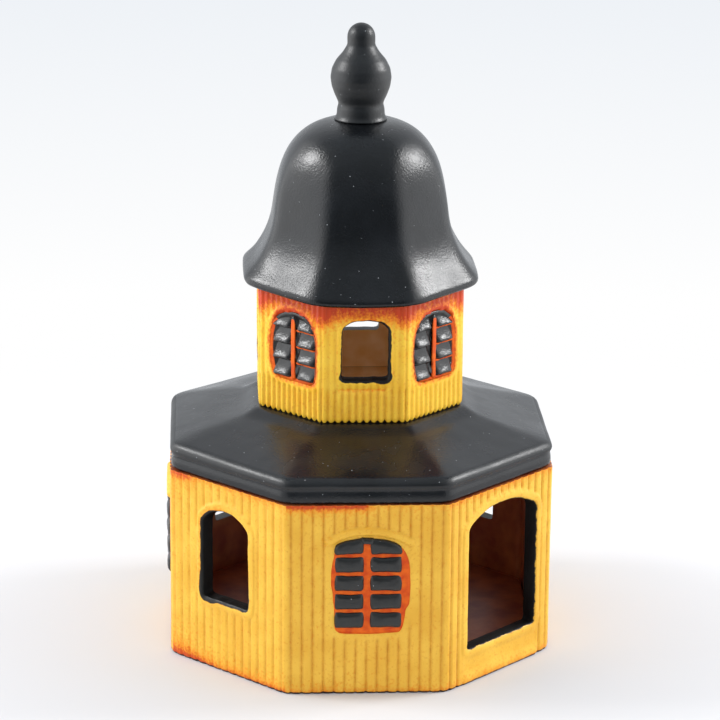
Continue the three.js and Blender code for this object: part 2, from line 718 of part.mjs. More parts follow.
function buildTealight() {
  const cupBottom = FLOOR_TOP + SEAM;
  const cupTop = cupBottom + CUP_HEIGHT;
  const mouth = CUP_DIAMETER / 2;
  const foot = mouth - CUP_DRAFT;
  const inside = cupBottom + CUP_SHEET;
  turnedPiece(
    "tealight_cup",
    [
      [0, cupBottom],
      [foot, cupBottom],
      [mouth, cupTop],
      [mouth - CUP_SHEET, cupTop],
      [foot - CUP_SHEET, inside],
      [0, inside],
    ],
    "aluminium",
  );
  const tabBottom = inside + WAX_FIT;
  const tabTop = tabBottom + TAB_SHEET;
  const neckTop = tabTop + TAB_NECK_HEIGHT;
  const neckBore = WICK_DIAMETER / 2 + WAX_FIT;
  const neckOutside = neckBore + TAB_NECK_WALL;
  turnedPiece(
    "wick_tab",
    [
      [0, tabBottom],
      [TAB_DIAMETER / 2, tabBottom],
      [TAB_DIAMETER / 2, tabTop],
      [neckOutside, tabTop],
      [neckOutside, neckTop],
      [neckBore, neckTop],
      [neckBore, tabTop],
      [0, tabTop],
    ],
    "tinplate",
  );
  const waxTop = cupTop - WAX_FREEBOARD;
  const waxFoot = foot - CUP_SHEET - WAX_FIT;
  const waxMouth = mouth - CUP_SHEET - WAX_FIT - CUP_DRAFT * (WAX_FREEBOARD / CUP_HEIGHT);
  turnedPiece(
    "tealight_wax",
    [
      [TAB_DIAMETER / 2 + WAX_FIT, tabBottom],
      [waxFoot, tabBottom],
      [waxMouth, waxTop],
      [neckBore, waxTop],
      [neckBore, neckTop + WAX_FIT],
      [neckOutside + WAX_FIT, neckTop + WAX_FIT],
      [neckOutside + WAX_FIT, tabTop + WAX_FIT],
      [TAB_DIAMETER / 2 + WAX_FIT, tabTop + WAX_FIT],
      [TAB_DIAMETER / 2 + WAX_FIT, tabBottom],
    ],
    "wax",
  );
  turnedPiece(
    "tealight_wick",
    [
      [0, tabTop + WAX_FIT],
      [WICK_DIAMETER / 2, tabTop + WAX_FIT],
      [WICK_DIAMETER / 2, waxTop + WICK_SHOWING],
      [0, waxTop + WICK_SHOWING],
    ],
    "cotton",
  );
}

buildFloorPlate();
buildLowerStorey();
buildSkirtRoof();
buildLanternStorey();
buildBellRoof();
buildFinial();
for (let face = 0; face < SIDES; face += 1) {
  const side = SIDE_NAMES[face];
  if (face % 2 === 1) {
    buildBlindWindow("lower", side, LOWER_BLIND, lowerBlindArch, lowerFace(face));
  } else {
    buildBlindWindow("lantern", side, LANTERN_BLIND, lanternBlindArch, lanternFace(face));
  }
}
buildTealight();

export default gazebo;
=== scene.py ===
# %% [markdown]
# # A ceramic gazebo for one tealight
# The real thing is slip-cast earthenware. Liquid clay is poured into a plaster mould, the soft cast is cut
# open at its doors and windows with a knife, fired, painted with coloured glazes and fired again.
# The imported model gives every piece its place, its size and the body that it moves with. This script
# dresses each piece: soft glazed edges, hand-cut openings, hand-brushed colour.

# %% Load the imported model
import math
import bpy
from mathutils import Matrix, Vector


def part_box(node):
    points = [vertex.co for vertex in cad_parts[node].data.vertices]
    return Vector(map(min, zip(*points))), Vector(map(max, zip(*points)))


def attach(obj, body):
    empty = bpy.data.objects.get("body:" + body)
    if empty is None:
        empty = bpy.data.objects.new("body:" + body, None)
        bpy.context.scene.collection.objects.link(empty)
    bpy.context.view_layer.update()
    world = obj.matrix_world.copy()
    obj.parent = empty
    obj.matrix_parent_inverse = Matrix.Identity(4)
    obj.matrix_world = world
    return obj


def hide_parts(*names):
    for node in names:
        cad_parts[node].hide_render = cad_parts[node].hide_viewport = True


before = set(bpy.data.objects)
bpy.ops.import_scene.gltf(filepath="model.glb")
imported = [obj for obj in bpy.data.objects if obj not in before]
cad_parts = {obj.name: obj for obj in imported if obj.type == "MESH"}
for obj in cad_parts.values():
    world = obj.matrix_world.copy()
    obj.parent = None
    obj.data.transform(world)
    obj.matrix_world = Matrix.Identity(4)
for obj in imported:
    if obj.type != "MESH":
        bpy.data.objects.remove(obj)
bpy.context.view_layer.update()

from types import SimpleNamespace

import bpy
import numpy as np
from mathutils import Matrix, Quaternion, Vector

MM = 0.001  # the model is in metres, and the sizes in this script are in millimetres
scene = bpy.context.scene
scene.view_settings.view_transform = "Standard"


def box_mm(node):
    """The lowest and highest corner of a node of the model, in millimetres."""
    low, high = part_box(node)
    return np.array(low) / MM, np.array(high) / MM


# %% [markdown]
# ## Camera
# The camera stands a little above the object and looks at the corner between the doorway and the window
# to its left. A long lens keeps the eight walls nearly parallel. The place was found by matching corners
# of the model with the same corners in the picture, so the numbers are odd ones.

# %% Camera
CAMERA_AZIMUTH = math.radians(-47.88)
CAMERA_ELEVATION = math.radians(16.88)
CAMERA_ROLL = math.radians(0.48)
CAMERA_DISTANCE = 1267
FOCAL_LENGTH = 157.7  # for a sensor 36 mm wide
AIM_RIGHT = 0.49  # how far right of the axis the camera looks
AIM_HEIGHT = 112.65


def towards(azimuth, elevation):
    """The direction at an angle round from the front of the object and an angle above the table."""
    level = math.cos(elevation)
    return Vector((math.sin(azimuth) * level, -math.cos(azimuth) * level, math.sin(elevation)))


def placed(name, data):
    """A new object in the scene, made of a mesh, a lamp or a camera."""
    made = bpy.data.objects.new(name, data)
    scene.collection.objects.link(made)
    return made


to_camera = towards(CAMERA_AZIMUTH, CAMERA_ELEVATION)
camera_right = Vector((math.cos(CAMERA_AZIMUTH), math.sin(CAMERA_AZIMUTH), 0))
aim = camera_right * AIM_RIGHT + Vector((0, 0, AIM_HEIGHT))
camera = placed("camera", bpy.data.cameras.new("camera"))
camera.data.lens = FOCAL_LENGTH
camera.location = (aim + to_camera * CAMERA_DISTANCE) * MM
camera.rotation_mode = "QUATERNION"
camera.rotation_quaternion = (-to_camera).to_track_quat("-Z", "Y") @ Quaternion((0, 0, 1), CAMERA_ROLL)
scene.camera = camera
print("camera at", [round(x, 3) for x in camera.location])

# %% [markdown]
# ## Nodes and colours
# Every material and every Geometry Nodes tree below is built by adding nodes one at a time. One small
# function does that: it makes a node, sets its properties, fills or links its inputs and hands back one
# output. Colours are written as sRGB hex values, as a painter would pick them on a screen, and a second
# function turns them into the linear light that a renderer adds up.

# %% Helpers for nodes and colours
def add(tree, kind, inputs=None, out=0, **settings):
    """Adds a node, sets its properties, fills or links its inputs, and returns one of its outputs."""
    made = tree.nodes.new(kind)
    for name, value in settings.items():
        setattr(made, name, value)
    for name, value in (inputs or {}).items():
        if isinstance(value, bpy.types.NodeSocket):
            tree.links.new(value, made.inputs[name])
        else:
            made.inputs[name].default_value = value
    return made.outputs[out] if len(made.outputs) else made


def linear(hex_colour):
    """An sRGB hex colour as linear red, green, blue and alpha."""
    parts = [int(hex_colour[i:i + 2], 16) / 255 for i in (1, 3, 5)]
    return [c / 12.92 if c <= 0.04045 else ((c + 0.055) / 1.055) ** 2.4 for c in parts] + [1]


def per_mm(size):
    """The texture scale at which one feature of a pattern is this many millimetres wide."""
    return 1 / (size * MM)


def blank_material(name):
    """A new material, its node tree, and the coordinates of the object for its patterns."""
    material = bpy.data.materials.new(name)
    material.use_nodes = True
    tree = material.node_tree
    tree.nodes.clear()
    return material, tree, add(tree, "ShaderNodeTexCoord", out="Object")


print("mid grey #808080 is", round(linear("#808080")[0], 3), "in linear light")

# %% [markdown]
# ## Studio
# The picture was taken in a light tent: white all round, a soft light at the left and one at the right,
# and the dark room behind the camera. Black glaze is a mirror for that room, so the studio is what gives
# the roofs their grey flanks and dark middle. The tent is the world. It is white round the table and a
# cool grey higher up, at a strength that shows a colour about as it is written.

# %% World
HORIZON = (-0.27, -0.17)  # how steeply a ray falls where the table's white turns into the tent's grey
world = bpy.data.worlds.new("light_tent")
scene.world = world
world.use_nodes = True
tree = world.node_tree
tree.nodes.clear()
direction = add(tree, "ShaderNodeTexCoord", out="Generated")
upward = add(tree, "ShaderNodeSeparateXYZ", {"Vector": direction}, out="Z")
far = add(tree, "ShaderNodeMapRange", {"Value": upward, "From Min": HORIZON[0], "From Max": HORIZON[1]})
tent = add(tree, "ShaderNodeMix", {0: far, 6: linear("#FFFFFF"), 7: linear("#EDF1F6")}, out=2,
           data_type="RGBA")
glow = add(tree, "ShaderNodeBackground", {"Color": tent, "Strength": 1.0})
add(tree, "ShaderNodeOutputWorld", {"Surface": glow})
print("the world is a", world.name)

# %% [markdown]
# ## Soft lights
# A soft light is a square of cloth lit from behind, which Blender calls an area lamp. Two broad dim panels
# light the flanks. Two small bright ones make the highlights on the shoulders and the flare of the bell.
# Power is worked out from how bright the cloth looks, so a lamp can change size and keep its brightness.

# %% Soft lights
def softbox(name, side, elevation, distance, size, radiance):
    """A square soft light, in degrees round from the camera and above the table, and in millimetres."""
    away = towards(CAMERA_AZIMUTH + math.radians(side), math.radians(elevation)) * distance
    place = away * MM + aim * MM
    turn = (aim * MM - place).to_track_quat("-Z", "Y").to_matrix().to_4x4()
    lamp = bpy.data.lights.new(name, "AREA")
    lamp.size = size * MM
    lamp.energy = radiance * math.pi * lamp.size ** 2
    placed(name, lamp).matrix_world = Matrix.Translation(place) @ turn


softbox("left_panel", -95, 12, 950, 1200, 1.25)
softbox("right_panel", 95, 12, 950, 1200, 0.85)
softbox("left_softbox", -94, 36, 880, 230, 21)
softbox("right_softbox", 102, 33, 880, 250, 21)

# %% [markdown]
# ## Dark room
# The room behind the camera is a vault that arches over it, darkest low down. It shows in the glaze and
# nowhere else: switched off for camera, diffuse and shadow rays, it takes no light from the walls.

# %% Dark room
def mesh_of(name, points, faces=()):
    """A new mesh of points, in metres, and of faces, each a list of the numbers of its points."""
    mesh = bpy.data.meshes.new(name)
    mesh.from_pydata(points, [], faces)
    return mesh


ROOM_REACH, ROOM_HALF = 950, 720
ROOM_RISE = (-22, 112)  # from below the table to past the zenith, in degrees
ROOM_RIBS = 18
ROOM_LIGHTENS = (200, 900)  # heights between which the room grows lighter
level_to_camera = Vector((to_camera.x, to_camera.y, 0)).normalized()
vault = []
for rise in np.radians(np.linspace(*ROOM_RISE, ROOM_RIBS)):
    spine = (level_to_camera * math.cos(rise) + Vector((0, 0, math.sin(rise)))) * ROOM_REACH
    vault += [(spine + camera_right * side) * MM for side in (-ROOM_HALF, ROOM_HALF)]
room_mesh = mesh_of("dark_room", vault, [(i, i + 1, i + 3, i + 2) for i in range(0, len(vault) - 2, 2)])
room = placed("dark_room", room_mesh)
room.visible_camera = room.visible_diffuse = room.visible_shadow = room.visible_transmission = False
dark, tree, place = blank_material("grey_felt")  # felt is matt, so the glaze mirrors an even gloom
level = add(tree, "ShaderNodeSeparateXYZ", {"Vector": place}, out="Z")
rise = add(tree, "ShaderNodeMapRange", {"Value": level, "From Min": ROOM_LIGHTENS[0] * MM,
                                        "From Max": ROOM_LIGHTENS[1] * MM})
gloom = add(tree, "ShaderNodeMix", {0: rise, 6: linear("#565D63"), 7: linear("#A0A7AD")}, out=2,
            data_type="RGBA")
shade = add(tree, "ShaderNodeBsdfDiffuse", {"Color": gloom})
add(tree, "ShaderNodeOutputMaterial", {"Surface": shade})
room_mesh.materials.append(dark)
print("the room's vault has", len(room_mesh.polygons), "faces")

# %% [markdown]
# ## Floor
# The object stands on a round sheet of pale paper that keeps its shadow. At its rim the sheet fades into
# the white of the tent, but only in the picture and in mirrors, so the light that it throws back on the
# object stays that of paper.

# %% Paper floor
FLOOR_RADIUS = 430
FLOOR_FADE = 110  # where the paper starts to fade into the white
turns = np.linspace(0, 2 * math.pi, 96, endpoint=False)
rim = np.stack([np.cos(turns), np.sin(turns), 0 * turns], -1) * FLOOR_RADIUS * MM
floor_mesh = mesh_of("paper_floor", rim.tolist(), [list(range(len(rim)))])
floor = placed("paper_floor", floor_mesh)
paper, tree, place = blank_material("matt_white_paper")  # matt, so the eye finds no highlight on it
reach = add(tree, "ShaderNodeVectorMath", {0: place}, out="Value", operation="LENGTH")
fade = add(tree, "ShaderNodeMapRange", {"Value": reach, "From Min": FLOOR_FADE * MM,
                                        "From Max": FLOOR_RADIUS * MM}, interpolation_type="SMOOTHSTEP")
ray = add(tree, "ShaderNodeLightPath", out="Is Camera Ray")
mirrored = add(tree, "ShaderNodeMath", {0: ray.node.outputs["Is Glossy Ray"],
                                        1: ray.node.outputs["Is Transmission Ray"]}, operation="MAXIMUM")
shown = add(tree, "ShaderNodeMath", {0: ray, 1: mirrored}, operation="MAXIMUM")
share = add(tree, "ShaderNodeMath", {0: fade, 1: shown}, operation="MULTIPLY")
sheet = add(tree, "ShaderNodeBsdfDiffuse", {"Color": linear("#D4D4D6")})
white = add(tree, "ShaderNodeEmission", {"Color": linear("#FFFFFF"), "Strength": 1.0})
blend = add(tree, "ShaderNodeMixShader", {0: share, 1: sheet, 2: white})
add(tree, "ShaderNodeOutputMaterial", {"Surface": blend})
floor_mesh.materials.append(paper)
print("floor", 2 * FLOOR_RADIUS, "mm across")

# %% [markdown]
# ## Black glaze
# The roofs carry a black iron glaze with a soft gloss. Close up it isn't smooth: the skin of the glaze is
# pebbled like orange peel, which breaks each highlight into grains, and gas has left pinholes that catch
# dust as pale specks. Noise gives the pebbles and a sparse Voronoi pattern gives the specks.

# %% Black glaze
GLAZE_INDEX = 1.55  # how strongly a full coat bends light, and so how much it mirrors


def black_glaze(name, colour, sheen_colour, roughness, peel, bend=GLAZE_INDEX):
    """Semi-gloss black glaze: pebbled skin, uneven gloss and a few pale specks."""
    material, tree, place = blank_material(name)
    cloud = add(tree, "ShaderNodeTexNoise", {"Vector": place, "Scale": per_mm(16), "Detail": 3.0})
    tone = add(tree, "ShaderNodeMapRange", {"Value": cloud, "From Min": 0.35, "From Max": 0.7})
    base = add(tree, "ShaderNodeMix", {0: tone, 6: linear(colour), 7: linear(sheen_colour)}, out=2,
               data_type="RGBA")
    specks = add(tree, "ShaderNodeTexVoronoi", {"Vector": place, "Scale": per_mm(2.1)})
    pick = add(tree, "ShaderNodeSeparateColor", {"Color": specks.node.outputs["Color"]})
    size = add(tree, "ShaderNodeMapRange", {"Value": pick, "From Min": 0.45, "From Max": 1.0,
                                            "To Min": 0.0, "To Max": 0.085})
    inside = add(tree, "ShaderNodeMath", {0: specks, 1: size}, operation="LESS_THAN")
    dusted = add(tree, "ShaderNodeMix", {0: inside, 6: base, 7: linear("#B4B8BC")}, out=2, data_type="RGBA")
    gloss = add(tree, "ShaderNodeMapRange", {"Value": cloud, "From Min": 0.3, "From Max": 0.7,
                                             "To Min": roughness - 0.05, "To Max": roughness + 0.07})
    pebbles = add(tree, "ShaderNodeTexNoise", {"Vector": place, "Scale": per_mm(0.8), "Detail": 2.0})
    swell = add(tree, "ShaderNodeTexNoise", {"Vector": place, "Scale": per_mm(7), "Detail": 1.0})
    skin = add(tree, "ShaderNodeBump", {"Height": pebbles, "Strength": 1.0, "Distance": peel * MM})
    wave = add(tree, "ShaderNodeBump", {"Height": swell, "Normal": skin, "Strength": 1.0,
                                        "Distance": 0.12 * MM})
    surface = add(tree, "ShaderNodeBsdfPrincipled", {
        "Base Color": dusted, "Roughness": gloss, "Normal": wave, "IOR": bend,
    })
    add(tree, "ShaderNodeOutputMaterial", {"Surface": surface})
    return material


head_on = ((GLAZE_INDEX - 1) / (GLAZE_INDEX + 1)) ** 2
print("a full coat mirrors", round(100 * head_on, 1), "% of the light that meets it head on")

# %% The black glazes, piece by piece
# On the bell: deep black with a soft gloss, pebbled enough to break each highlight into grains.
roof_black = black_glaze("black_iron_glaze", "#0A0C0E", "#111418", 0.27, 0.1, 1.48)
# Pooled on the low roof: smoother, so that it mirrors the lantern.
skirt_black = black_glaze("black_iron_glaze_pooled", "#111316", "#191B1E", 0.24, 0.08, 1.47)
# Run thin on rims and on the knob: satin, with broad pale highlights.
thin_black = black_glaze("black_iron_glaze_thin_on_edge", "#0C0E10", "#14171A", 0.4, 0.07, 1.52)
# Charcoal on the lower panes: a soft grey sheen.
pane_black = black_glaze("charcoal_satin_glaze", "#181918", "#222322", 0.34, 0.06)
# Charcoal on the lantern's panes: a rough gloss that glints like beaten metal.
pane_silver = black_glaze("charcoal_gloss_glaze", "#141414", "#242423", 0.2, 0.13)
# Brushed on cut clay: nearly matt, and the deepest black of them all.
edge_black = black_glaze("brushed_black_glaze", "#080707", "#121110", 0.5, 0.12, 1.36)
black_glazes = (roof_black, skirt_black, thin_black, pane_black, pane_silver, edge_black)
print("black glazes", [m.name for m in black_glazes])

# %% [markdown]
# ## Brown glaze
# Inside, the cast was swilled with a clear brown glaze. To the eye it is wet and deep. Low in the candle
# room it is dark red, a painted shade, and in the lantern and high on the far wall it is tan, a painted
# light, as if lit through the openings. Two ramps, by height and by depth, set the painted light, and noise
# gives the glaze pools and ripples.

# %% Brown glaze
NOISE_LOW, NOISE_HIGH = 0.35, 0.65  # most values of a noise texture lie between these
LIT_ABOVE = (82, 92)  # heights between which it goes from painted shade to painted light
FAR_LIT_DEPTH, FAR_LIT_LEVEL = (45, 62), (26, 46)  # where painted light falls on the far wall
inside_brown, tree, place = blank_material("clear_brown_glaze")
level = add(tree, "ShaderNodeSeparateXYZ", {"Vector": place}, out="Z")
depth = level.node.outputs["Y"]
# Painted light: the glaze turns from its painted shade to its painted light high up and on the far wall.
high, behind, above = [
    add(tree, "ShaderNodeMapRange", {"Value": value, "From Min": low * MM, "From Max": full * MM})
    for value, (low, full) in ((level, LIT_ABOVE), (depth, FAR_LIT_DEPTH), (level, FAR_LIT_LEVEL))
]
far_lit = add(tree, "ShaderNodeMath", {0: behind, 1: above}, operation="MULTIPLY")
lit_share = add(tree, "ShaderNodeMath", {0: high, 1: far_lit}, operation="MAXIMUM")
pool = add(tree, "ShaderNodeTexNoise", {"Vector": place, "Scale": per_mm(9), "Detail": 5.0})
spread = add(tree, "ShaderNodeMapRange", {"Value": pool, "From Min": NOISE_LOW, "From Max": NOISE_HIGH})
# The first brown is the painted shade of the candle room, the second the painted light of the lantern and the
# far wall.
shade_brown, thin = [
    add(tree, "ShaderNodeMix", {0: spread, 6: linear(dark), 7: linear(light)}, out=2, data_type="RGBA")
    for dark, light in (("#86381A", "#AA5C30"), ("#EAB470", "#F6CC90"))
]
brown = add(tree, "ShaderNodeMix", {0: lit_share, 6: shade_brown, 7: thin}, out=2, data_type="RGBA")
ripple = add(tree, "ShaderNodeBump", {"Height": pool, "Strength": 1.0, "Distance": 0.2 * MM})
surface = add(tree, "ShaderNodeBsdfPrincipled", {"Base Color": brown, "Roughness": 0.4, "Normal": ripple})
add(tree, "ShaderNodeOutputMaterial", {"Surface": surface})
print("inside", inside_brown.name)

# %% [markdown]
# ## Turned and eight-sided pieces
# The bell, the skirt roof, the finial and the candle cup are all one profile carried round an axis. A
# Spin modifier gives round pieces only, so a small Geometry Nodes tree does it: it rolls a grid round the
# axis and reads each ring's reach and height from a profile line. The rule for eight sides is short. A
# flat face lies at reach / cos(angle from its middle), and where two faces meet a smooth maximum
# rounds the hip, as glaze does. A profile point says how much of that rule holds, from 0, round, to 1.

# %% Start and end of a tree
EIGHTH = math.pi / 4  # the angle between two faces


def new_tree(name, start, numbers):
    """A Geometry Nodes tree with named inputs and one mesh as its output, and the sockets of its inputs."""
    tree = bpy.data.node_groups.new(name, "GeometryNodeTree")
    face = tree.interface
    face.new_socket(name=start, in_out="INPUT", socket_type="NodeSocketGeometry")
    for label, usual in numbers.items():
        kind = "NodeSocketInt" if isinstance(usual, int) else "NodeSocketFloat"
        face.new_socket(name=label, in_out="INPUT", socket_type=kind).default_value = usual
    face.new_socket(name="Material", in_out="INPUT", socket_type="NodeSocketMaterial")
    face.new_socket(name="Mesh", in_out="OUTPUT", socket_type="NodeSocketGeometry")
    return tree, add(tree, "NodeGroupInput").node.outputs


def close_tree(tree, mesh, material):
    """Ends a tree with smooth shading, real geometry and a material."""
    smooth = add(tree, "GeometryNodeSetShadeSmooth", {"Geometry": mesh})
    real = add(tree, "GeometryNodeRealizeInstances", {"Geometry": smooth})
    painted = add(tree, "GeometryNodeSetMaterial", {"Geometry": real, "Material": material})
    add(tree, "NodeGroupOutput", {"Mesh": painted})
    print(tree.name, "has", len(tree.nodes), "nodes")


print("faces are", round(math.degrees(EIGHTH)), "degrees apart")

# %% Tree: a grid rolled round the axis
spin, given = new_tree("profile_round_axis", "Profile", {
    "Steps Around": 96, "Hip Softness": 0.05, "Flutes": 0.0, "Flute Depth": 0.0, "Twist": 0.0,
    "Unevenness": 0.0, "Seed": 0.0,
})
count = add(spin, "GeometryNodeAttributeDomainSize", {"Geometry": given["Profile"]})
wide = add(spin, "ShaderNodeMath", {0: given["Steps Around"], 1: 1.0}, operation="ADD")
grid = add(spin, "GeometryNodeMeshGrid", {"Vertices X": wide, "Vertices Y": count})
index = add(spin, "GeometryNodeInputIndex")
ring = add(spin, "ShaderNodeMath", {0: index, 1: count}, operation="MODULO")
step = add(spin, "ShaderNodeMath", {0: index, 1: count}, operation="DIVIDE")
step = add(spin, "ShaderNodeMath", {0: step}, operation="FLOOR")
turn = add(spin, "ShaderNodeMath", {0: step, 1: given["Steps Around"]}, operation="DIVIDE")
angle = add(spin, "ShaderNodeMath", {0: turn, 1: 2 * math.pi}, operation="MULTIPLY")
sampled = {}
for name in ("reach", "level", "facet", "flute"):
    value = add(spin, "GeometryNodeInputNamedAttribute", {"Name": name}, data_type="FLOAT")
    sampled[name] = add(spin, "GeometryNodeSampleIndex",
                        {"Geometry": given["Profile"], "Value": value, "Index": ring})
print("each ring reads", list(sampled))

# %% Tree: the eight-sided rule and the flutes
half_face = add(spin, "ShaderNodeMath", {0: angle, 1: EIGHTH / 2}, operation="PINGPONG")
near = add(spin, "ShaderNodeMath", {0: half_face}, operation="COSINE")
other = add(spin, "ShaderNodeMath", {0: EIGHTH, 1: half_face}, operation="SUBTRACT")
other = add(spin, "ShaderNodeMath", {0: other}, operation="COSINE")
facing_share = add(spin, "ShaderNodeMath", {0: near, 1: other, 2: given["Hip Softness"]},
                   operation="SMOOTH_MAX")
eight = add(spin, "ShaderNodeMath", {0: 1.0, 1: facing_share}, operation="DIVIDE")
rule = add(spin, "ShaderNodeMix", {0: sampled["facet"], 2: 1.0, 3: eight})
reach = add(spin, "ShaderNodeMath", {0: sampled["reach"], 1: rule}, operation="MULTIPLY")
twisted = add(spin, "ShaderNodeMath", {0: sampled["level"], 1: given["Twist"], 2: angle},
              operation="MULTIPLY_ADD")
beat = add(spin, "ShaderNodeMath", {0: twisted, 1: given["Flutes"]}, operation="MULTIPLY")
beat = add(spin, "ShaderNodeMath", {0: beat}, operation="COSINE")
beat = add(spin, "ShaderNodeMath", {0: beat, 1: given["Flute Depth"]}, operation="MULTIPLY")
reach = add(spin, "ShaderNodeMath", {0: beat, 1: sampled["flute"], 2: reach}, operation="MULTIPLY_ADD")
print("a hip lies", round(1 / math.cos(EIGHTH / 2), 4), "times as far out as the middle of a face")

# %% Tree: rings set in place
def wavering(tree, seed, size, detail, amount):
    """Noise about zero in three directions, with features of a size in millimetres, times an amount."""
    noise = add(tree, "ShaderNodeTexNoise", {"W": seed, "Scale": per_mm(size), "Detail": detail},
                out="Color", noise_dimensions="4D")
    noise = add(tree, "ShaderNodeVectorMath", {0: noise, 1: (0.5, 0.5, 0.5)}, operation="SUBTRACT")
    return add(tree, "ShaderNodeVectorMath", {0: noise, "Scale": amount}, operation="SCALE")


sine = add(spin, "ShaderNodeMath", {0: angle}, operation="SINE")
cosine = add(spin, "ShaderNodeMath", {0: angle}, operation="COSINE")
right = add(spin, "ShaderNodeMath", {0: reach, 1: sine}, operation="MULTIPLY")
front = add(spin, "ShaderNodeMath", {0: reach, 1: cosine}, operation="MULTIPLY")
back = add(spin, "ShaderNodeMath", {0: front, 1: -1.0}, operation="MULTIPLY")
spot = add(spin, "ShaderNodeCombineXYZ", {"X": right, "Y": back, "Z": sampled["level"]})
rolled = add(spin, "GeometryNodeSetPosition", {"Geometry": grid, "Position": spot})
closed = add(spin, "GeometryNodeMergeByDistance", {"Geometry": rolled, "Distance": 0.0001 * MM})
drift = wavering(spin, given["Seed"], 24, 1.0, given["Unevenness"])
worn = add(spin, "GeometryNodeSetPosition", {"Geometry": closed, "Offset": drift})
close_tree(spin, worn, given["Material"])

# %% [markdown]
# ## Running a tree
# A tree is a recipe on a modifier. Here it runs once and the result is kept as a plain mesh. A modifier
# knows an input by its identifier, so a small loop looks that up by the input's name. A finished mesh becomes
# a piece that rides on a body of the model and stands for the node that it dresses.

# %% Run a tree, and finish a piece
def run_tree(tree, mesh, values):
    """The plain mesh that a tree makes of a start mesh, with its inputs set by name."""
    holder = placed("holder", mesh)
    modifier = holder.modifiers.new("nodes", "NODES")
    modifier.node_group = tree
    for item in tree.interface.items_tree:
        if item.in_out == "INPUT" and item.name in values:
            modifier[item.identifier] = values[item.name]
    graph = bpy.context.evaluated_depsgraph_get()
    made = bpy.data.meshes.new_from_object(holder.evaluated_get(graph))
    bpy.data.objects.remove(holder)
    return made


def store(mesh, **notes):
    """Stores numbers on the vertices of a mesh, each set under its own name."""
    for name, values in notes.items():
        numbers = np.asarray(values * np.ones(len(mesh.vertices)), np.float32)
        mesh.attributes.new(name, "FLOAT", "POINT").data.foreach_set("value", numbers)


def finished(name, mesh, body, slot, *nodes):
    """Links a finished mesh as a piece that rides on a body and stands for nodes of the model."""
    mesh.name = name
    made = placed(name, mesh)
    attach(made, body)
    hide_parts(*nodes)
    mesh.calc_loop_triangles()
    print(name, len(mesh.loop_triangles), "triangles on", body)


# %% [markdown]
# ## Lines and curves
# Every profile and every outline is a short list of points. These helpers turn such a list into a fine
# line: they space points evenly, round corners as glaze does by averaging the line over a short stretch,
# and draw arcs and curves between points.

# %% Lines and curves
def evenly(points, step, closed=False):
    """A line through points, with new points at an equal distance along it."""
    line = np.array(points, float)
    if closed:
        line = np.vstack([line, line[:1]])
    along = np.concatenate([[0], np.cumsum(np.hypot(*np.diff(line, axis=0).T))])
    count = max(2, int(round(along[-1] / step)) + 1)
    marks = np.linspace(0, along[-1], count)
    made = np.stack([np.interp(marks, along, line[:, i]) for i in (0, 1)], -1)
    return made[:-1] if closed else made


def softened(points, radius, step, closed=False):
    """A line whose corners are rounded, by averaging it over a stretch about as long as the rounding."""
    line = evenly(points, step, closed)
    reach = max(1, int(round(radius / step / 2)))
    for _ in range(2):
        if closed:
            padded = np.vstack([line[-reach:], line, line[:reach]])
        else:
            before = 2 * line[0] - line[reach:0:-1]
            after = 2 * line[-1] - line[-2:-reach - 2:-1]
            padded = np.vstack([before, line, after])
        kernel = np.ones(2 * reach + 1) / (2 * reach + 1)
        line = np.stack([np.convolve(padded[:, i], kernel, "valid") for i in (0, 1)], -1)
    return line


print("a soft corner has", len(softened([(0, 0), (5, 0), (5, 5)], 1.5, 0.25)), "points")

# %% Curves, arcs and ramps
def bezier(start, start_handle, end_handle, end, steps=24):
    """A curve between two points of a profile, drawn towards two handles."""
    t = np.linspace(0, 1, steps)[:, None]
    weights = [(1 - t) ** 3, 3 * t * (1 - t) ** 2, 3 * t ** 2 * (1 - t), t ** 3]
    return sum(w * np.array(p) for w, p in zip(weights, (start, start_handle, end_handle, end)))


def arc(centre, radius, first, last, steps=12):
    """Points on a circle of a profile, between two angles in degrees above the horizontal."""
    a = np.radians(np.linspace(first, last, steps))
    return np.stack([centre[0] + radius * np.cos(a), centre[1] + radius * np.sin(a)], -1)


def ease(value, low, high):
    """A smooth step from 0 at low to 1 at high."""
    t = np.clip((value - low) / (high - low), 0, 1)
    return t * t * (3 - 2 * t)


print("a quarter of the way along, a ramp has risen to", ease(0.25, 0, 1))

# %% Carry a profile round the axis
def carried_round(profile, material, steps, facet=0.0, flute=0.0, **values):
    """The mesh of a profile, in millimetres of reach and level, carried round the axis."""
    mesh = mesh_of("profile", [(r * MM, 0, z * MM) for r, z in profile])
    store(mesh, reach=profile[:, 0] * MM, level=profile[:, 1] * MM, facet=facet, flute=flute)
    named = {name.replace("_", " ").title(): value for name, value in values.items()}
    return run_tree(spin, mesh, {"Steps Around": steps, "Material": material, **named})


print("profiles are carried round by", spin.name)

# %% [markdown]
# ## Lined pieces
# The hollow pieces are black outside and brown inside, because the inside was glazed by swilling. A face
# of the mesh is inside if it looks towards the axis or down, and lies nearer the axis than the rim does.

# %% Glaze for the inside of a hollow piece
INWARD, DOWNWARD = -0.3, -0.2  # how far a face has to look in, or down, to count as inside


def reach_of(x, y):
    """How far out the face of an eight-sided ring through a point lies."""
    heading = EIGHTH * np.arange(8)
    return np.max(np.multiply.outer(x, np.sin(heading)) - np.multiply.outer(y, np.cos(heading)), axis=-1)


def line_inside(mesh, material, within):
    """Gives a second material to the faces that look inwards or down, nearer the axis than a distance."""
    mesh.materials.append(material)
    lining = len(mesh.materials) - 1
    for polygon in mesh.polygons:
        x, y, _ = polygon.center / MM
        inward = polygon.normal.x * x + polygon.normal.y * y < INWARD * math.hypot(x, y)
        if reach_of(x, y) < within and (inward or polygon.normal.z < DOWNWARD):
            polygon.material_index = lining


print("a point at 10, 10 lies on a ring of reach", round(float(reach_of(10, 10)), 2))

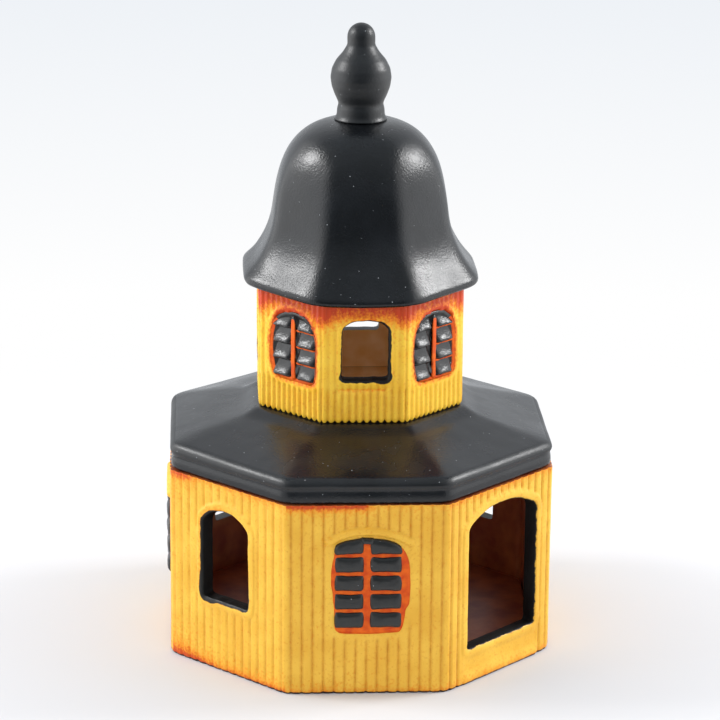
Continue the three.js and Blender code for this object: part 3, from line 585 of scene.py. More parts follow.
# %% [markdown]
# ## Warps
# Clay shrinks by a tenth in the kiln and a thin rim seldom shrinks evenly. The bell's eave hangs lower on
# one side and the skirt roof has lifted at the back. A smooth weight round a heading moves only the rim,
# so the seats that hold the pieces together stay where the model has them.

# %% Warps from the kiln
def warped(mesh, reaches, levels, pulls):
    """Lifts a mesh round some headings, in degrees, where it is past a reach and a level."""
    points = np.empty(len(mesh.vertices) * 3)
    mesh.vertices.foreach_get("co", points)
    x, y, level = (points.reshape(-1, 3) / MM).T
    loose = ease(reach_of(x, y), *reaches) * ease(level, *levels)
    for heading, spread, lift in pulls:
        away = (np.degrees(np.arctan2(x, -y)) - heading + 180) % 360 - 180
        points[2::3] += lift * MM * loose * np.exp(-(away / spread) ** 2)
    mesh.vertices.foreach_set("co", points)
    print("the rim moves by up to", max(abs(lift) for _, _, lift in pulls), "mm")


print("one spread away from its heading a warp keeps", round(math.exp(-1), 2), "of its lift")

# %% [markdown]
# ## Bell roof
# The bell was cast hollow, with a lip that drops inside the lantern. Its outline is an eave rolled under
# like a lip, a hollow flare, and a dome. The eight hips are plain at the eave and melt into a round crown
# under the finial, so the profile carries a share of the eight-sided rule that fades with height.

# %% Bell roof
bell_high = box_mm("bell_roof")[1]
lantern_low, lantern_high = box_mm("lantern_storey")
bell_foot = lantern_high[2] + 0.3
bell_top = bell_high[2]
EAVE_REACH = bell_high[0]
EAVE_ROLL = 2.0
EAVE_DROOP = 0.6
WAIST = (34.6, bell_foot + 26.7)
CROWN_REACH = 10.2
SOCKET_REACH = 4.3
LIP_OUTSIDE, LIP_INSIDE, LIP_DROP = 34.0, 31.0, 5.0
SEAT_REACH = 41.8  # the flat that sits on the lantern ends here
BELL_WALL = 5.0
HIP_SHARE = 0.92  # how sharp the hips are at the eave, where 1 is a full eight-sided rule
EAVE_PULLS = [(-45, 38, -1.4), (222, 34, 1.3), (50, 30, 0.3)]  # heading, spread and lift of each warp

eave = arc((EAVE_REACH - EAVE_ROLL, bell_foot - EAVE_DROOP + EAVE_ROLL), EAVE_ROLL, -90, 42)
flare = bezier(eave[-1], (43.3, bell_foot + 6.6), (36.0, bell_foot + 14.2), WAIST)
dome = bezier(WAIST, (33.3, bell_foot + 38.6), (31.7, bell_top - 2.7), (CROWN_REACH, bell_top), 36)
outside = np.vstack([[(LIP_INSIDE, bell_foot - LIP_DROP), (LIP_OUTSIDE, bell_foot - LIP_DROP),
                      (LIP_OUTSIDE, bell_foot), (SEAT_REACH, bell_foot)], eave, flare[1:], dome[1:]])
hollow = bezier((WAIST[0] - BELL_WALL, WAIST[1]), (28, bell_foot + 36), (21, bell_top - BELL_WALL - 3),
                (SOCKET_REACH, bell_top - BELL_WALL), 16)
inside = np.vstack([[(SOCKET_REACH, bell_top)], hollow[::-1], [(LIP_INSIDE, bell_foot - LIP_DROP)]])
bell_line = np.vstack([softened(outside, 1.4, 0.7), inside])
melting = 1 - ease(bell_line[:, 1], WAIST[1] - 2, bell_top + 2)
melting[bell_line[:, 0] <= CROWN_REACH] = 0
bell_mesh = carried_round(bell_line, roof_black, 240, HIP_SHARE * melting, hip_softness=0.13,
                          unevenness=0.5 * MM, seed=3.0)
line_inside(bell_mesh, inside_brown, LIP_INSIDE + 0.5)
warped(bell_mesh, (40.6, 46), (bell_foot + 20, bell_foot + 6), EAVE_PULLS)
finished("bell_roof_glazed", bell_mesh, "roof", "black_glaze", "bell_roof")

# %% [markdown]
# ## Finial
# The knob was turned on the model that the mould was taken from: a foot that flares on to the roof, a
# straight neck, a bulb and a rounded tip. It is round, so the eight-sided rule is off. A list of widths at
# heights, as a turner would measure them with callipers, is softened into one line.

# %% Finial
finial_high = box_mm("finial")[1]
finial_foot = bell_top + 0.3
finial_rise = finial_high[2] - finial_foot
TENON_REACH, TENON_LENGTH = 4.0, 4.2
members = np.array([  # reach, and level as a height above the foot
    (10.45, 0.0), (10.05, 0.5), (9.55, 1.3), (9.4, 2.3), (9.4, 3.4), (9.2, 4.7), (8.75, 6.0), (9.1, 7.2),
    (10.35, 9.9), (11.5, 13.1), (12.0, 16.6), (11.45, 20.1), (9.85, 23.3), (7.1, 26.6), (5.45, 29.4),
    (5.5, 32.0),
])
TIP_REACH = 5.5
tip = arc((0, finial_rise - TIP_REACH), TIP_REACH, 0, 90, 10)
above_foot = softened(np.vstack([members, tip]), 1.2, 0.45)
above_foot[-1, 0] = 0
finial_line = np.vstack([[(0, -TENON_LENGTH), (TENON_REACH, -TENON_LENGTH), (TENON_REACH, 0)], above_foot])
finial_line[:, 1] += finial_foot
finial_mesh = carried_round(finial_line, thin_black, 96, unevenness=0.25 * MM, seed=8.0)
finished("finial_glazed", finial_mesh, "roof", "black_glaze", "finial")

# %% [markdown]
# ## Skirt roof
# Between the storeys lies a low roof with a rolled eave over a flat fascia. Its profile goes once round:
# up the fascia, under the notch, round the roll, up the slope, over the land that the lantern stands on
# and back below. Glaze ran thin on the roll, so its faces get the satin black.

# %% Skirt roof
skirt_low, skirt_high = box_mm("skirt_roof")
skirt_foot, skirt_top = skirt_low[2], skirt_high[2]
FASCIA, FASCIA_INSIDE = 75.2, 70.0
NOTCH = 0.7
THROAT = 7.6
ROLL_WIDTH, ROLL_FOOT = 2.4, 5.6  # where the roll lies, in from its edge and above the foot
ROLL = skirt_high[0]
LAND, LAND_INSIDE = 41.5, 35.2
SKIRT_PULLS = [(212, 45, 1.8)]  # heading, spread and lift, as on the bell
skirt_line = softened(np.vstack([
    [(FASCIA_INSIDE, skirt_foot), (FASCIA, skirt_foot), (FASCIA + 0.2, skirt_foot + 1.5),
     (FASCIA, skirt_foot + 4.8), (FASCIA - NOTCH, skirt_foot + 5.8)],
    [(ROLL - 0.7, skirt_foot + 6.0), (ROLL, skirt_foot + 6.8), (ROLL - 0.2, skirt_foot + 7.8),
     (ROLL - 1.8, skirt_foot + 9.8)],
    [(71.2, skirt_foot + 10.7), (58.0, skirt_foot + 14.4), (46.5, skirt_top - 3.0), (43.2, skirt_top - 1.2),
     (LAND, skirt_top), (LAND_INSIDE + 2, skirt_top)],
]), 1.5, 0.5)
skirt_line = np.vstack([skirt_line, [
    (LAND_INSIDE, skirt_top + 0.25), (LAND_INSIDE, skirt_top - THROAT), (LAND - 1, skirt_top - THROAT),
    (FASCIA_INSIDE, skirt_foot + 6), (FASCIA_INSIDE, skirt_foot),
]])
skirt_mesh = carried_round(skirt_line, skirt_black, 280, 1.0, hip_softness=0.05, unevenness=0.5 * MM,
                           seed=5.0)
line_inside(skirt_mesh, inside_brown, FASCIA_INSIDE + 0.5)
skirt_mesh.materials.append(thin_black)
for polygon in skirt_mesh.polygons:
    x, y, level = polygon.center / MM
    if reach_of(x, y) > ROLL - ROLL_WIDTH and level > skirt_foot + ROLL_FOOT:
        polygon.material_index = len(skirt_mesh.materials) - 1
warped(skirt_mesh, (45, 62), (skirt_foot + 5.5, skirt_foot + 9), SKIRT_PULLS)
finished("skirt_roof_glazed", skirt_mesh, "body", "black_glaze", "skirt_roof")

# %% [markdown]
# ## Yellow glaze
# The walls are brushed with an opaque yellow glaze over clay that was pressed with upright boards. Glaze
# runs thin on edges and pools in grooves, so the grooves turn ochre. The potter wiped a burnt orange along
# the foot and under the eaves, and painted the cut edges of the openings black with a ragged brush. The
# mesh carries the places as attributes, in millimetres, and noise breaks their edges. The coats go on one
# after another, as the brush did, each mixed over the colour below by its own share.

# %% Yellow glaze
CLOUD_SIZE, BRUSH_SIZE, GRAIN_SIZE = 13, 3.2, 1.1  # of the patterns in the glaze, in millimetres


def yellow_glaze(name, light, deep, groove_tint, wash_low, wash_high):
    """Satin yellow glaze with ochre grooves, an orange wash and ragged black paint at cut edges."""
    material, tree, place = blank_material(name)
    level = add(tree, "ShaderNodeSeparateXYZ", {"Vector": place}, out="Z")
    groove = add(tree, "ShaderNodeAttribute", out="Fac", attribute_name="groove")
    paint = add(tree, "ShaderNodeAttribute", out="Fac", attribute_name="paint")
    wash = add(tree, "ShaderNodeAttribute", out="Fac", attribute_name="wash")
    cloud = add(tree, "ShaderNodeTexNoise", {"Vector": place, "Scale": per_mm(CLOUD_SIZE), "Detail": 4.0})
    grain = add(tree, "ShaderNodeTexNoise", {"Vector": place, "Scale": per_mm(GRAIN_SIZE), "Detail": 3.0})
    brush = add(tree, "ShaderNodeTexNoise", {"Vector": place, "Scale": per_mm(BRUSH_SIZE), "Detail": 5.0,
                                             "Roughness": 0.65})
    tone = add(tree, "ShaderNodeMapRange", {"Value": cloud, "From Min": NOISE_LOW, "From Max": NOISE_HIGH})
    dust = add(tree, "ShaderNodeMapRange", {"Value": grain, "From Min": 0.56, "From Max": 0.76,
                                            "To Max": 0.45})
    worn = add(tree, "ShaderNodeMapRange", {"Value": brush, "From Min": NOISE_LOW, "From Max": NOISE_HIGH,
                                            "To Min": 0.25, "To Max": groove_tint})
    depth = add(tree, "ShaderNodeMath", {0: groove, 1: worn}, operation="MULTIPLY")
    broken = add(tree, "ShaderNodeMath", {0: brush, 1: 0.7, 2: -0.98}, operation="MULTIPLY_ADD")
    broken = add(tree, "ShaderNodeMath", {0: grain, 1: 1.25, 2: broken}, operation="MULTIPLY_ADD")
    wet = add(tree, "ShaderNodeMath", {0: wash, 1: broken}, operation="ADD")
    glow = add(tree, "ShaderNodeMapRange", {"Value": wet, "From Min": 0.12, "From Max": 0.75})
    burnt = add(tree, "ShaderNodeMapRange", {"Value": wet, "From Min": 0.62, "From Max": 1.15})
    ragged = add(tree, "ShaderNodeMath", {0: brush, 1: 1.4, 2: -0.7}, operation="MULTIPLY_ADD")
    edge = add(tree, "ShaderNodeMath", {0: paint, 1: ragged}, operation="ADD")
    # Black paint at the cut edges, and at the lower wall's foot a line that is partly bare clay and partly
    # painted contact shadow.
    black_paint_and_shadow = add(tree, "ShaderNodeMapRange", {"Value": edge, "From Min": -0.12, "From Max": 0.12})
    # A dark brown line at the very foot, partly bare clay and partly painted contact shadow.
    foot_line_and_shadow = add(tree, "ShaderNodeMapRange", {"Value": level, "From Min": 0.3 * MM, "From Max": 0.8 * MM,
                                                "To Min": 0.85, "To Max": 0.0})
    coats = [(tone, deep), (dust, "#CE8E28"), (depth, "#CC8C26"), (glow, wash_low), (burnt, wash_high),
             (black_paint_and_shadow, "#141210"), (foot_line_and_shadow, "#3A1D0C")]
    colour = linear(light)
    for share, tint in coats:
        colour = add(tree, "ShaderNodeMix", {0: share, 6: colour, 7: linear(tint)}, out=2, data_type="RGBA")
    satin = add(tree, "ShaderNodeMapRange", {"Value": brush, "From Min": 0.3, "From Max": 0.7,
                                             "To Min": 0.36, "To Max": 0.52})
    skin = add(tree, "ShaderNodeBump", {"Height": grain, "Strength": 1.0, "Distance": 0.09 * MM})
    surface = add(tree, "ShaderNodeBsdfPrincipled", {"Base Color": colour, "Roughness": satin, "Normal": skin,
                                                     "Specular IOR Level": 0.35})
    add(tree, "ShaderNodeOutputMaterial", {"Surface": surface})
    return material


print("brush marks are", round(BRUSH_SIZE / GRAIN_SIZE, 1), "times as wide as the grain")

# %% The two yellows
# Below: a soft satin yellow, thin enough for ochre to show in every groove.
wall_yellow = yellow_glaze("brushed_yellow_glaze", "#F6C244", "#ECB236", 0.85, "#F09012", "#CE4A0C")
# On the lantern: a brighter, purer yellow than below, which is painted light that makes up for the shade
# that the roofs cast on it, with a wash under the eave that burns to red.
lantern_yellow = yellow_glaze("brushed_yellow_glaze_with_red_wash", "#FFD040", "#FABF2C", 0.5, "#F88C08",
                              "#CC3E00")
print("yellow glazes", wall_yellow.name, lantern_yellow.name)

# %% [markdown]
# ## Walls
# A wall is a closed ring of faces: up the outside, over the head and down the inside. Eight flat faces meet
# in round corners, and the walls lean in a little. These helpers go both ways between a place on a face,
# across it and up it, and a point of the object, so that everything below can be drawn flat.

# %% Sizes of the two storeys
lower_low, lower_high = box_mm("lower_storey")
LOWER = SimpleNamespace(
    foot=lower_low[2], head=lower_high[2],
    apothem=(76.0, 75.8), corner=(9.0, 4.0),  # distance to a face and corner radius, at foot and head
    wall=5.5, boards=15,  # thickness, and boards on each face
    pocket=1.9, rim=0.3,  # how deep a blind window is sunk, and where its slope starts inside its outline
    frame=3.4, proud=0.5,  # width and height of the raised frame round an opening
    paint=(0.3, 0.75), brush=-1,  # black round a cut, more where the brush leaned, and the side it leaned to
    stain=0.55, halo=0.0,  # orange beside an opening, and round a blind window
)
LANTERN = SimpleNamespace(
    foot=lantern_low[2], head=lantern_high[2], apothem=(40.5, 40.5), corner=(2.5, 2.5), wall=5.3, boards=12,
    pocket=3.9, rim=-0.2, frame=1.8, proud=0.3, paint=(0.35, 0.6), brush=1, stain=0.0, halo=0.85,
)
print("faces at", LOWER.apothem, "and", LANTERN.apothem, "mm from the axis")

# %% Points round a wall
def sizes_at(storey, level):
    """The distance from the axis to a face, and the corner radius, at a height."""
    share = np.clip((level - storey.foot) / (storey.head - storey.foot), 0, 1)
    apothem = storey.apothem[0] + (storey.apothem[1] - storey.apothem[0]) * share
    corner = storey.corner[0] + (storey.corner[1] - storey.corner[0]) * share
    return apothem, corner


def wall_ring(storey, level, inset, shares):
    """Points round the wall at a height, at the same shares of each of its eight faces."""
    apothem, corner = sizes_at(storey, level)
    apothem -= inset
    flat = 2 * (apothem - corner) * math.tan(EIGHTH / 2)
    along = shares * (flat + corner * EIGHTH)
    across = np.clip(along, -flat / 2, flat / 2)
    turn = (along - across) / corner
    right = across + corner * np.sin(turn)
    out = apothem - corner + corner * np.cos(turn)
    heading = EIGHTH * np.arange(8)[:, None]
    x = right * np.cos(heading) + out * np.sin(heading)
    y = right * np.sin(heading) - out * np.cos(heading)
    return np.stack([x, y, np.full_like(x, level)], -1).reshape(-1, 3)


print("with one point on each face a ring has", len(wall_ring(LOWER, LOWER.foot, 0, np.zeros(1))), "points")

# %% From a point to its place on a face, and back
def read_wall(storey, points):
    """Where points lie on a wall: face, place on it, depth behind its skin, share of the face, heading."""
    x, y, level = points.T
    face = np.round(np.arctan2(x, -y) / EIGHTH).astype(int) % 8
    heading = EIGHTH * face
    right = x * np.cos(heading) + y * np.sin(heading)
    out = x * np.sin(heading) - y * np.cos(heading)
    apothem, corner = sizes_at(storey, level)
    flat = 2 * (apothem - corner) * math.tan(EIGHTH / 2)
    past = np.sign(right) * np.maximum(np.abs(right) - flat / 2, 0)
    turn = np.arctan2(past, out - apothem + corner)
    depth = np.where(past == 0, apothem - out, corner - np.hypot(past, out - apothem + corner))
    along = np.clip(right, -flat / 2, flat / 2) + corner * turn
    return SimpleNamespace(face=face, right=right, level=level, depth=depth, heading=heading + turn,
                           share=along / (flat + corner * EIGHTH))


def on_face(storey, face, across, level, out):
    """Points of the object, given across a face, up it and out of it."""
    heading = EIGHTH * face
    reach = sum(storey.apothem) / 2 + out
    return np.stack([across * math.cos(heading) + reach * math.sin(heading),
                     across * math.sin(heading) - reach * math.cos(heading), level], -1)


there = on_face(LANTERN, 1, np.array([3.0]), np.array([LANTERN.foot + 20]), 0.0)
seen = read_wall(LANTERN, there)
print("3 mm right on face 1 reads as", round(float(seen.right[0]), 3), "on face", int(seen.face[0]))

# %% [markdown]
# ## Openings
# The potter cut the doorway and the windows freehand, so no two are alike. Each is drawn as an arch, its
# corners are softened, and a sum of slow and quick waves with a fixed seed makes the line waver as a knife
# does. The blind windows are patches of glaze, so their outlines are given point by point.

# %% Outlines cut by hand
def arched(half, sill, spring, crown, middle=0.0, bend=2.2):
    """The outline of an arched opening, anticlockwise from its lower left corner."""
    across = np.linspace(half, -half, 25)
    rise = crown - (crown - spring) * (np.abs(across) / half) ** bend
    line = np.vstack([[(-half, sill), (half, sill)], np.stack([across, rise], -1)])
    return line + np.array([middle, 0])


def hand_cut(outline, amount, seed, corner=1.6):
    """An outline with soft corners that wavers as a knife does."""
    line = softened(outline, corner, 0.55, closed=True)
    draw = np.random.default_rng(seed)
    turn = np.linspace(0, 2 * math.pi, len(line), endpoint=False)
    waver = sum(draw.normal() / n ** 0.6 * np.sin(n * turn + draw.uniform(0, 6.3)) for n in range(2, 26))
    ahead = np.roll(line, -1, 0) - np.roll(line, 1, 0)
    outward = np.stack([ahead[:, 1], -ahead[:, 0]], -1) / np.hypot(*ahead.T)[:, None]
    return line + amount * waver[:, None] * outward


print("an arch has", len(arched(10, 0, 20, 25)), "points before it is cut by hand")

# %% Distance from an outline
def outside_by(points, outline):
    """The distance of points from a closed outline, negative inside it."""
    nearest = np.full(len(points), np.inf)
    inside = np.zeros(len(points), bool)
    for start, step in zip(outline, np.roll(outline, -1, 0) - outline):
        share = np.clip((points - start) @ step / (step @ step), 0, 1)
        nearest = np.minimum(nearest, np.hypot(*(points - start - share[:, None] * step).T))
        crossed = (start[1] > points[:, 1]) != (start[1] + step[1] > points[:, 1])
        meet = start[0] + step[0] * (points[:, 1] - start[1]) / (step[1] or 1e-9)
        inside ^= crossed & (points[:, 0] < meet)
    return np.where(inside, -nearest, nearest)


tile = np.array([(0, 0), (10, 0), (10, 10), (0, 10)], float)
print("the middle of a 10 mm tile lies", outside_by(np.array([[5.0, 5.0]]), tile)[0], "mm outside it")

# %% Outlines of the openings
DOOR_MIDDLE = 1.1  # how far right of the middle of its face the doorway lies
DOOR = hand_cut(arched(20.4, 14.3, 64.5, 70.8, DOOR_MIDDLE), 0.06, 1, 2.4)
WINDOW = arched(12.3, 29.4, 61.4, 67.0, -0.9)
WINDOWS = {face: hand_cut(WINDOW, 0.07, 10 + face, 2.2) for face in (2, 4, 6)}
lower_cuts = {0: DOOR, **WINDOWS}
SILL = LANTERN.foot
lantern_cuts = {
    face: hand_cut(arched(9.1, SILL + 17.4, SILL + 37.8, SILL + 41.3, 0.5, bend=4), 0.08, 20 + face, 2.6)
    for face in (1, 5, 7)
}
lantern_cuts[3] = hand_cut(arched(10.2, SILL + 15.8, SILL + 39, SILL + 42.4, 0.2, bend=4), 0.08, 23, 2.6)
print("outline of the doorway has", len(DOOR), "points")

# %% Outlines of the blind windows
LOWER_BLIND = np.array([  # a patch of glaze, fuller at the right and gone behind the panes at the head
    (-12.3, 58.8), (-13.5, 53.1), (-14.1, 49.4), (-13.7, 45.2), (-12.8, 40.5), (-12.6, 35.2), (-12.6, 30.0),
    (-12.2, 27.2), (-10.9, 25.6), (-4.9, 25.2), (2.0, 25.1), (12.9, 25.4), (14.1, 27.8), (15.2, 34.9),
    (16.6, 37.0), (17.0, 44.4), (16.6, 50.7), (15.7, 54.9), (14.7, 58.5), (13.6, 60.1), (8.5, 62.8),
    (0.7, 63.6), (-6.2, 62.9), (-10.9, 60.6),
])
lower_blinds = {face: hand_cut(LOWER_BLIND, 0.13, 30 + face, 1.2) for face in (1, 3, 5, 7)}
LANTERN_BLIND = np.array([
    (-10.6, 136.0), (-12.1, 130.0), (-12.3, 124.0), (-11.0, 116.2), (-8.6, 113.8), (1.0, 113.4), (9.6, 113.4),
    (12.2, 115.0), (12.5, 121.0), (12.3, 131.5), (10.6, 137.0), (6.4, 140.3), (0.4, 141.2), (-6.3, 139.8),
])
LANTERN_SHIFT = {0: -0.6, 2: 0.4, 4: -0.3, 6: 1.6}  # how far right of the middle of its face a window lies
lantern_blinds = {face: hand_cut(LANTERN_BLIND + (shift, 0), 0.09, 40 + face, 2.0)
                  for face, shift in LANTERN_SHIFT.items()}
print("blind windows", len(lower_blinds), "below and", len(lantern_blinds), "on the lantern")

# %% [markdown]
# ## Cutting
# The openings are cut out of the wall with a Boolean, as a knife cuts soft clay: a prism for each outline,
# taken away in one go. The wall has a ring of points for every few millimetres of height and several for
# each board, because the boards and the rounded edges are pressed into its mesh afterwards.

# %% Meshes of a wall and of a knife
def ring_mesh(rings):
    """A closed mesh of rings of points, the last joined to the first."""
    index = np.arange(rings.shape[0] * rings.shape[1]).reshape(rings.shape[:2])
    beside = np.roll(index, -1, 1)
    quads = np.stack([index, beside, np.roll(beside, -1, 0), np.roll(index, -1, 0)], -1)
    return mesh_of("wall", (rings.reshape(-1, 3) * MM).tolist(), quads.reshape(-1, 4).tolist())


def knife_mesh(storey, cuts, reach):
    """Prisms through the wall, one for each opening."""
    points, faces = [], []
    for face, outline in cuts.items():
        count, base = len(outline), len(points)
        for out in (reach, -reach):
            points += (on_face(storey, face, outline[:, 0], outline[:, 1], out) * MM).tolist()
        ahead = np.roll(np.arange(count), -1)
        faces += [[base + i, base + count + i, base + count + j, base + j] for i, j in enumerate(ahead)]
        faces += [[base + i for i in range(count)], [base + count + i for i in reversed(range(count))]]
    return mesh_of("knife", points, faces)


print("openings to cut", len(lower_cuts), "below and", len(lantern_cuts), "on the lantern")

# %% Cut with a Boolean
KNIFE_REACH = 3  # how far a prism passes the wall


def cut_open(mesh, knife):
    """The mesh with the knife's prisms taken out of it."""
    pair = [placed(m.name, m) for m in (mesh, knife)]
    modifier = pair[0].modifiers.new("cut", "BOOLEAN")
    modifier.operation = "DIFFERENCE"
    modifier.solver = "MANIFOLD"
    modifier.object = pair[1]
    graph = bpy.context.evaluated_depsgraph_get()
    result = bpy.data.meshes.new_from_object(pair[0].evaluated_get(graph))
    for made in pair:
        bpy.data.objects.remove(made)
    return result


def cut_wall(storey, stations, levels, inner, cuts):
    """A storey's wall: dense rings outside, a few inside, with its openings cut."""
    shares = (np.arange(storey.boards)[:, None] + stations).ravel() / storey.boards - 0.5
    rings = [wall_ring(storey, level, 0, shares) for level in levels]
    rings += [wall_ring(storey, level, inset, shares) for inset, level in inner]
    return cut_open(ring_mesh(np.stack(rings)), knife_mesh(storey, cuts, storey.wall + KNIFE_REACH))


print("a prism passes the wall by", KNIFE_REACH, "mm")

# %% The two cut walls
BOARD_STATIONS = np.array([0, 0.08, 0.16, 0.27, 0.5, 0.73, 0.84, 0.92])
lower_levels = np.concatenate([[0, 0.4, 0.9, 1.6], np.linspace(2.6, 59.5, 52), np.linspace(60, 70, 26),
                               np.linspace(71, LOWER.head, 9)])
LEDGE_WIDTH, LEDGE_HEIGHT = 5.0, 2.2
lower_inner = [(LOWER.wall, z) for z in np.linspace(LOWER.head, LEDGE_HEIGHT, 8)]
lower_inner += [(LOWER.wall + LEDGE_WIDTH, LEDGE_HEIGHT), (LOWER.wall + LEDGE_WIDTH, 0)]
lower_mesh = cut_wall(LOWER, BOARD_STATIONS, lower_levels, lower_inner, lower_cuts)

lantern_levels = np.linspace(LANTERN.foot, LANTERN.head, 64)
lantern_inner = [(LANTERN.wall, z) for z in np.linspace(LANTERN.head, LANTERN.foot, 7)]
lantern_mesh = cut_wall(LANTERN, np.arange(7) / 7, lantern_levels, lantern_inner, lantern_cuts)
print("cut walls have", len(lower_mesh.polygons), "and", len(lantern_mesh.polygons), "faces")

# %% [markdown]
# ## Boards
# The mould was pressed with upright boards below and with reeds on the lantern. A small Geometry Nodes tree
# presses the grooves between them into the cut wall, all round, by one rule: the distance to the nearest
# whole number of boards. Noise sways the grooves and leaves the skin uneven.

# %% Tree: boards pressed into a wall
SWAY_SIZE, LUMP_SIZE = 22, 9  # how long a groove runs before it sways, and how wide a lump of the skin is
boards, given = new_tree("boards_in_wall", "Wall", {
    "Groove Depth": 0.0006, "Groove Share": 0.17, "Wander": 0.1, "Unevenness": 0.0003, "Seed": 0.0,
})
read = {name: add(boards, "GeometryNodeInputNamedAttribute", {"Name": name}, data_type="FLOAT")
        for name in ("across", "boards", "relief")}
outward = add(boards, "GeometryNodeInputNamedAttribute", {"Name": "out"}, data_type="FLOAT_VECTOR")
noises = [add(boards, "ShaderNodeTexNoise", {"W": given["Seed"], "Scale": per_mm(size), "Detail": 2.0},
              noise_dimensions="4D") for size in (SWAY_SIZE, LUMP_SIZE)]
sway, lumps = [add(boards, "ShaderNodeMath", {0: noise, 1: 0.5}, operation="SUBTRACT") for noise in noises]
line = add(boards, "ShaderNodeMath", {0: sway, 1: given["Wander"], 2: read["across"]},
           operation="MULTIPLY_ADD")
away = add(boards, "ShaderNodeMath", {0: line, 1: 0.5}, operation="PINGPONG")
groove = add(boards, "ShaderNodeMapRange", {"Value": away, "From Max": given["Groove Share"],
                                            "To Min": 1.0, "To Max": 0.0}, interpolation_type="SMOOTHSTEP")
groove = add(boards, "ShaderNodeMath", {0: groove, 1: read["boards"]}, operation="MULTIPLY")
pressed = add(boards, "ShaderNodeMath", {0: groove, 1: given["Groove Depth"]}, operation="MULTIPLY")
raised = add(boards, "ShaderNodeMath", {0: read["relief"], 1: pressed}, operation="SUBTRACT")
skin = add(boards, "ShaderNodeMath", {0: lumps, 1: given["Unevenness"], 2: raised},
           operation="MULTIPLY_ADD")
move = add(boards, "ShaderNodeVectorMath", {0: outward, "Scale": skin}, operation="SCALE")
shaped = add(boards, "GeometryNodeSetPosition", {"Geometry": given["Wall"], "Offset": move})
noted = add(boards, "GeometryNodeStoreNamedAttribute",
            {"Geometry": shaped, "Name": "groove", "Value": groove}, data_type="FLOAT", domain="POINT")
close_tree(boards, noted, given["Material"])

# %% [markdown]
# ## Dressing a wall
# What was done to a wall by hand is noted on its points before the tree runs: where boards run, how far the
# skin stands out or in, how near the black brush came and where the orange wash lies. The material reads
# the same notes, so a raised frame and its paint always agree.

# %% Notes round an opening
SKIN = 0.05  # how near the surface a point belongs to the wall's skin
EDGE_ROLL, EDGE_DIP = 0.9, 0.75  # how far back from a cut glaze rounds the edge, and by how much
FOOT_ROLL, FOOT_DIP = 1.4, 0.7  # the same along the foot
HEAVY_BESIDE, HEAVY_BELOW = (3, 8), (6, 11)  # how far from an opening's middle the black brush grew heavy
STAIN_REACH, HALO_REACH = (0.3, 3.5), (0.2, 2.6)  # distances from an edge over which orange fades
BOARDS_AGAIN = (1.8, 3.2)  # distances from a blind window between which the boards start again


def note_opening(storey, notes, here, spot, outline, by_hand):
    """A raised frame and a rolled edge round an opening, and paint and a stain where a hand was heavy."""
    away = outside_by(spot, outline)
    framed = 1 - ease(away, storey.frame - 0.5, storey.frame + 0.5)
    notes.boards[here] *= 1 - framed
    notes.relief[here] += storey.proud * framed - EDGE_DIP * np.clip(1 - away / EDGE_ROLL, 0, 1) ** 2
    lean = spot - outline.mean(axis=0)
    beside = storey.brush * lean[:, 0]
    heavy = ease(beside, *HEAVY_BESIDE) + ease(-lean[:, 1], *HEAVY_BELOW)
    notes.paint[here] = storey.paint[0] - away + storey.paint[1] * heavy * by_hand
    notes.stain[here] = storey.stain * (1 - ease(away, *STAIN_REACH)) * ease(beside, -6, 6) * by_hand


def note_blind(storey, notes, here, spot, outline, hood, arch):
    """A sunken ground, orange round it and a raised hood over it, at a blind window."""
    away = outside_by(spot, outline)
    notes.boards[here] *= ease(away, *BOARDS_AGAIN)
    notes.stain[here] = storey.halo * (1 - ease(away, *HALO_REACH))
    notes.relief[here] -= storey.pocket * ease(-away, storey.rim, storey.rim + 1)
    above = np.min(np.hypot(spot[:, :1] - arch[:, 0], spot[:, 1:] - arch[:, 1]), axis=1)
    notes.boards[here] *= ease(above, hood.width * 0.45, hood.width * 0.65)
    notes.relief[here] += hood.proud * np.sqrt(np.clip(1 - (2 * above / hood.width) ** 2, 0, 1))


print("edges roll over", EDGE_ROLL, "mm")

# %% Notes all over a wall
def dressed_wall(storey, mesh, cuts, blinds, hood, plain, wash, carve, ink_and_shadow):
    """Notes on a cut wall where boards, frames, paint and washes lie, and returns where its points are."""
    points = np.empty(len(mesh.vertices) * 3)
    mesh.vertices.foreach_get("co", points)
    at = read_wall(storey, points.reshape(-1, 3) / MM)
    skin = at.depth < SKIN
    notes = SimpleNamespace(boards=skin * 1.0, relief=np.zeros(len(skin)), stain=np.zeros(len(skin)),
                            paint=np.full(len(skin), -9.0))  # far from any brush
    for face, outline in {**cuts, **blinds}.items():
        here = np.flatnonzero(skin & (at.face == face))
        spot = np.stack([at.right[here], at.level[here]], -1)
        if face in cuts:
            note_opening(storey, notes, here, spot, outline, face != 0)
        else:
            note_blind(storey, notes, here, spot, outline, hood, hood.lines[face])
    notes.paint[skin] = np.maximum(notes.paint[skin], ink_and_shadow(at)[skin])
    notes.boards[skin] *= plain(at)[skin]
    notes.relief[skin] += carve(at)[skin]
    notes.relief[skin] -= FOOT_DIP * np.clip(1 - (at.level[skin] - storey.foot) / FOOT_ROLL, 0, 1) ** 2
    store(mesh, across=at.share * storey.boards, boards=notes.boards, relief=notes.relief * MM,
          paint=notes.paint, wash=np.where(skin, wash(at) + notes.stain, 0))
    out = np.stack([np.sin(at.heading), -np.cos(at.heading), 0 * at.heading], -1) * skin[:, None]
    mesh.attributes.new("out", "FLOAT_VECTOR", "POINT").data.foreach_set("vector", out.ravel())
    return at


print("the skin is what lies within", SKIN, "mm of the surface")

# %% Glazes of a wall
SHARP = math.radians(50)  # edges that turn by more than this stay sharp


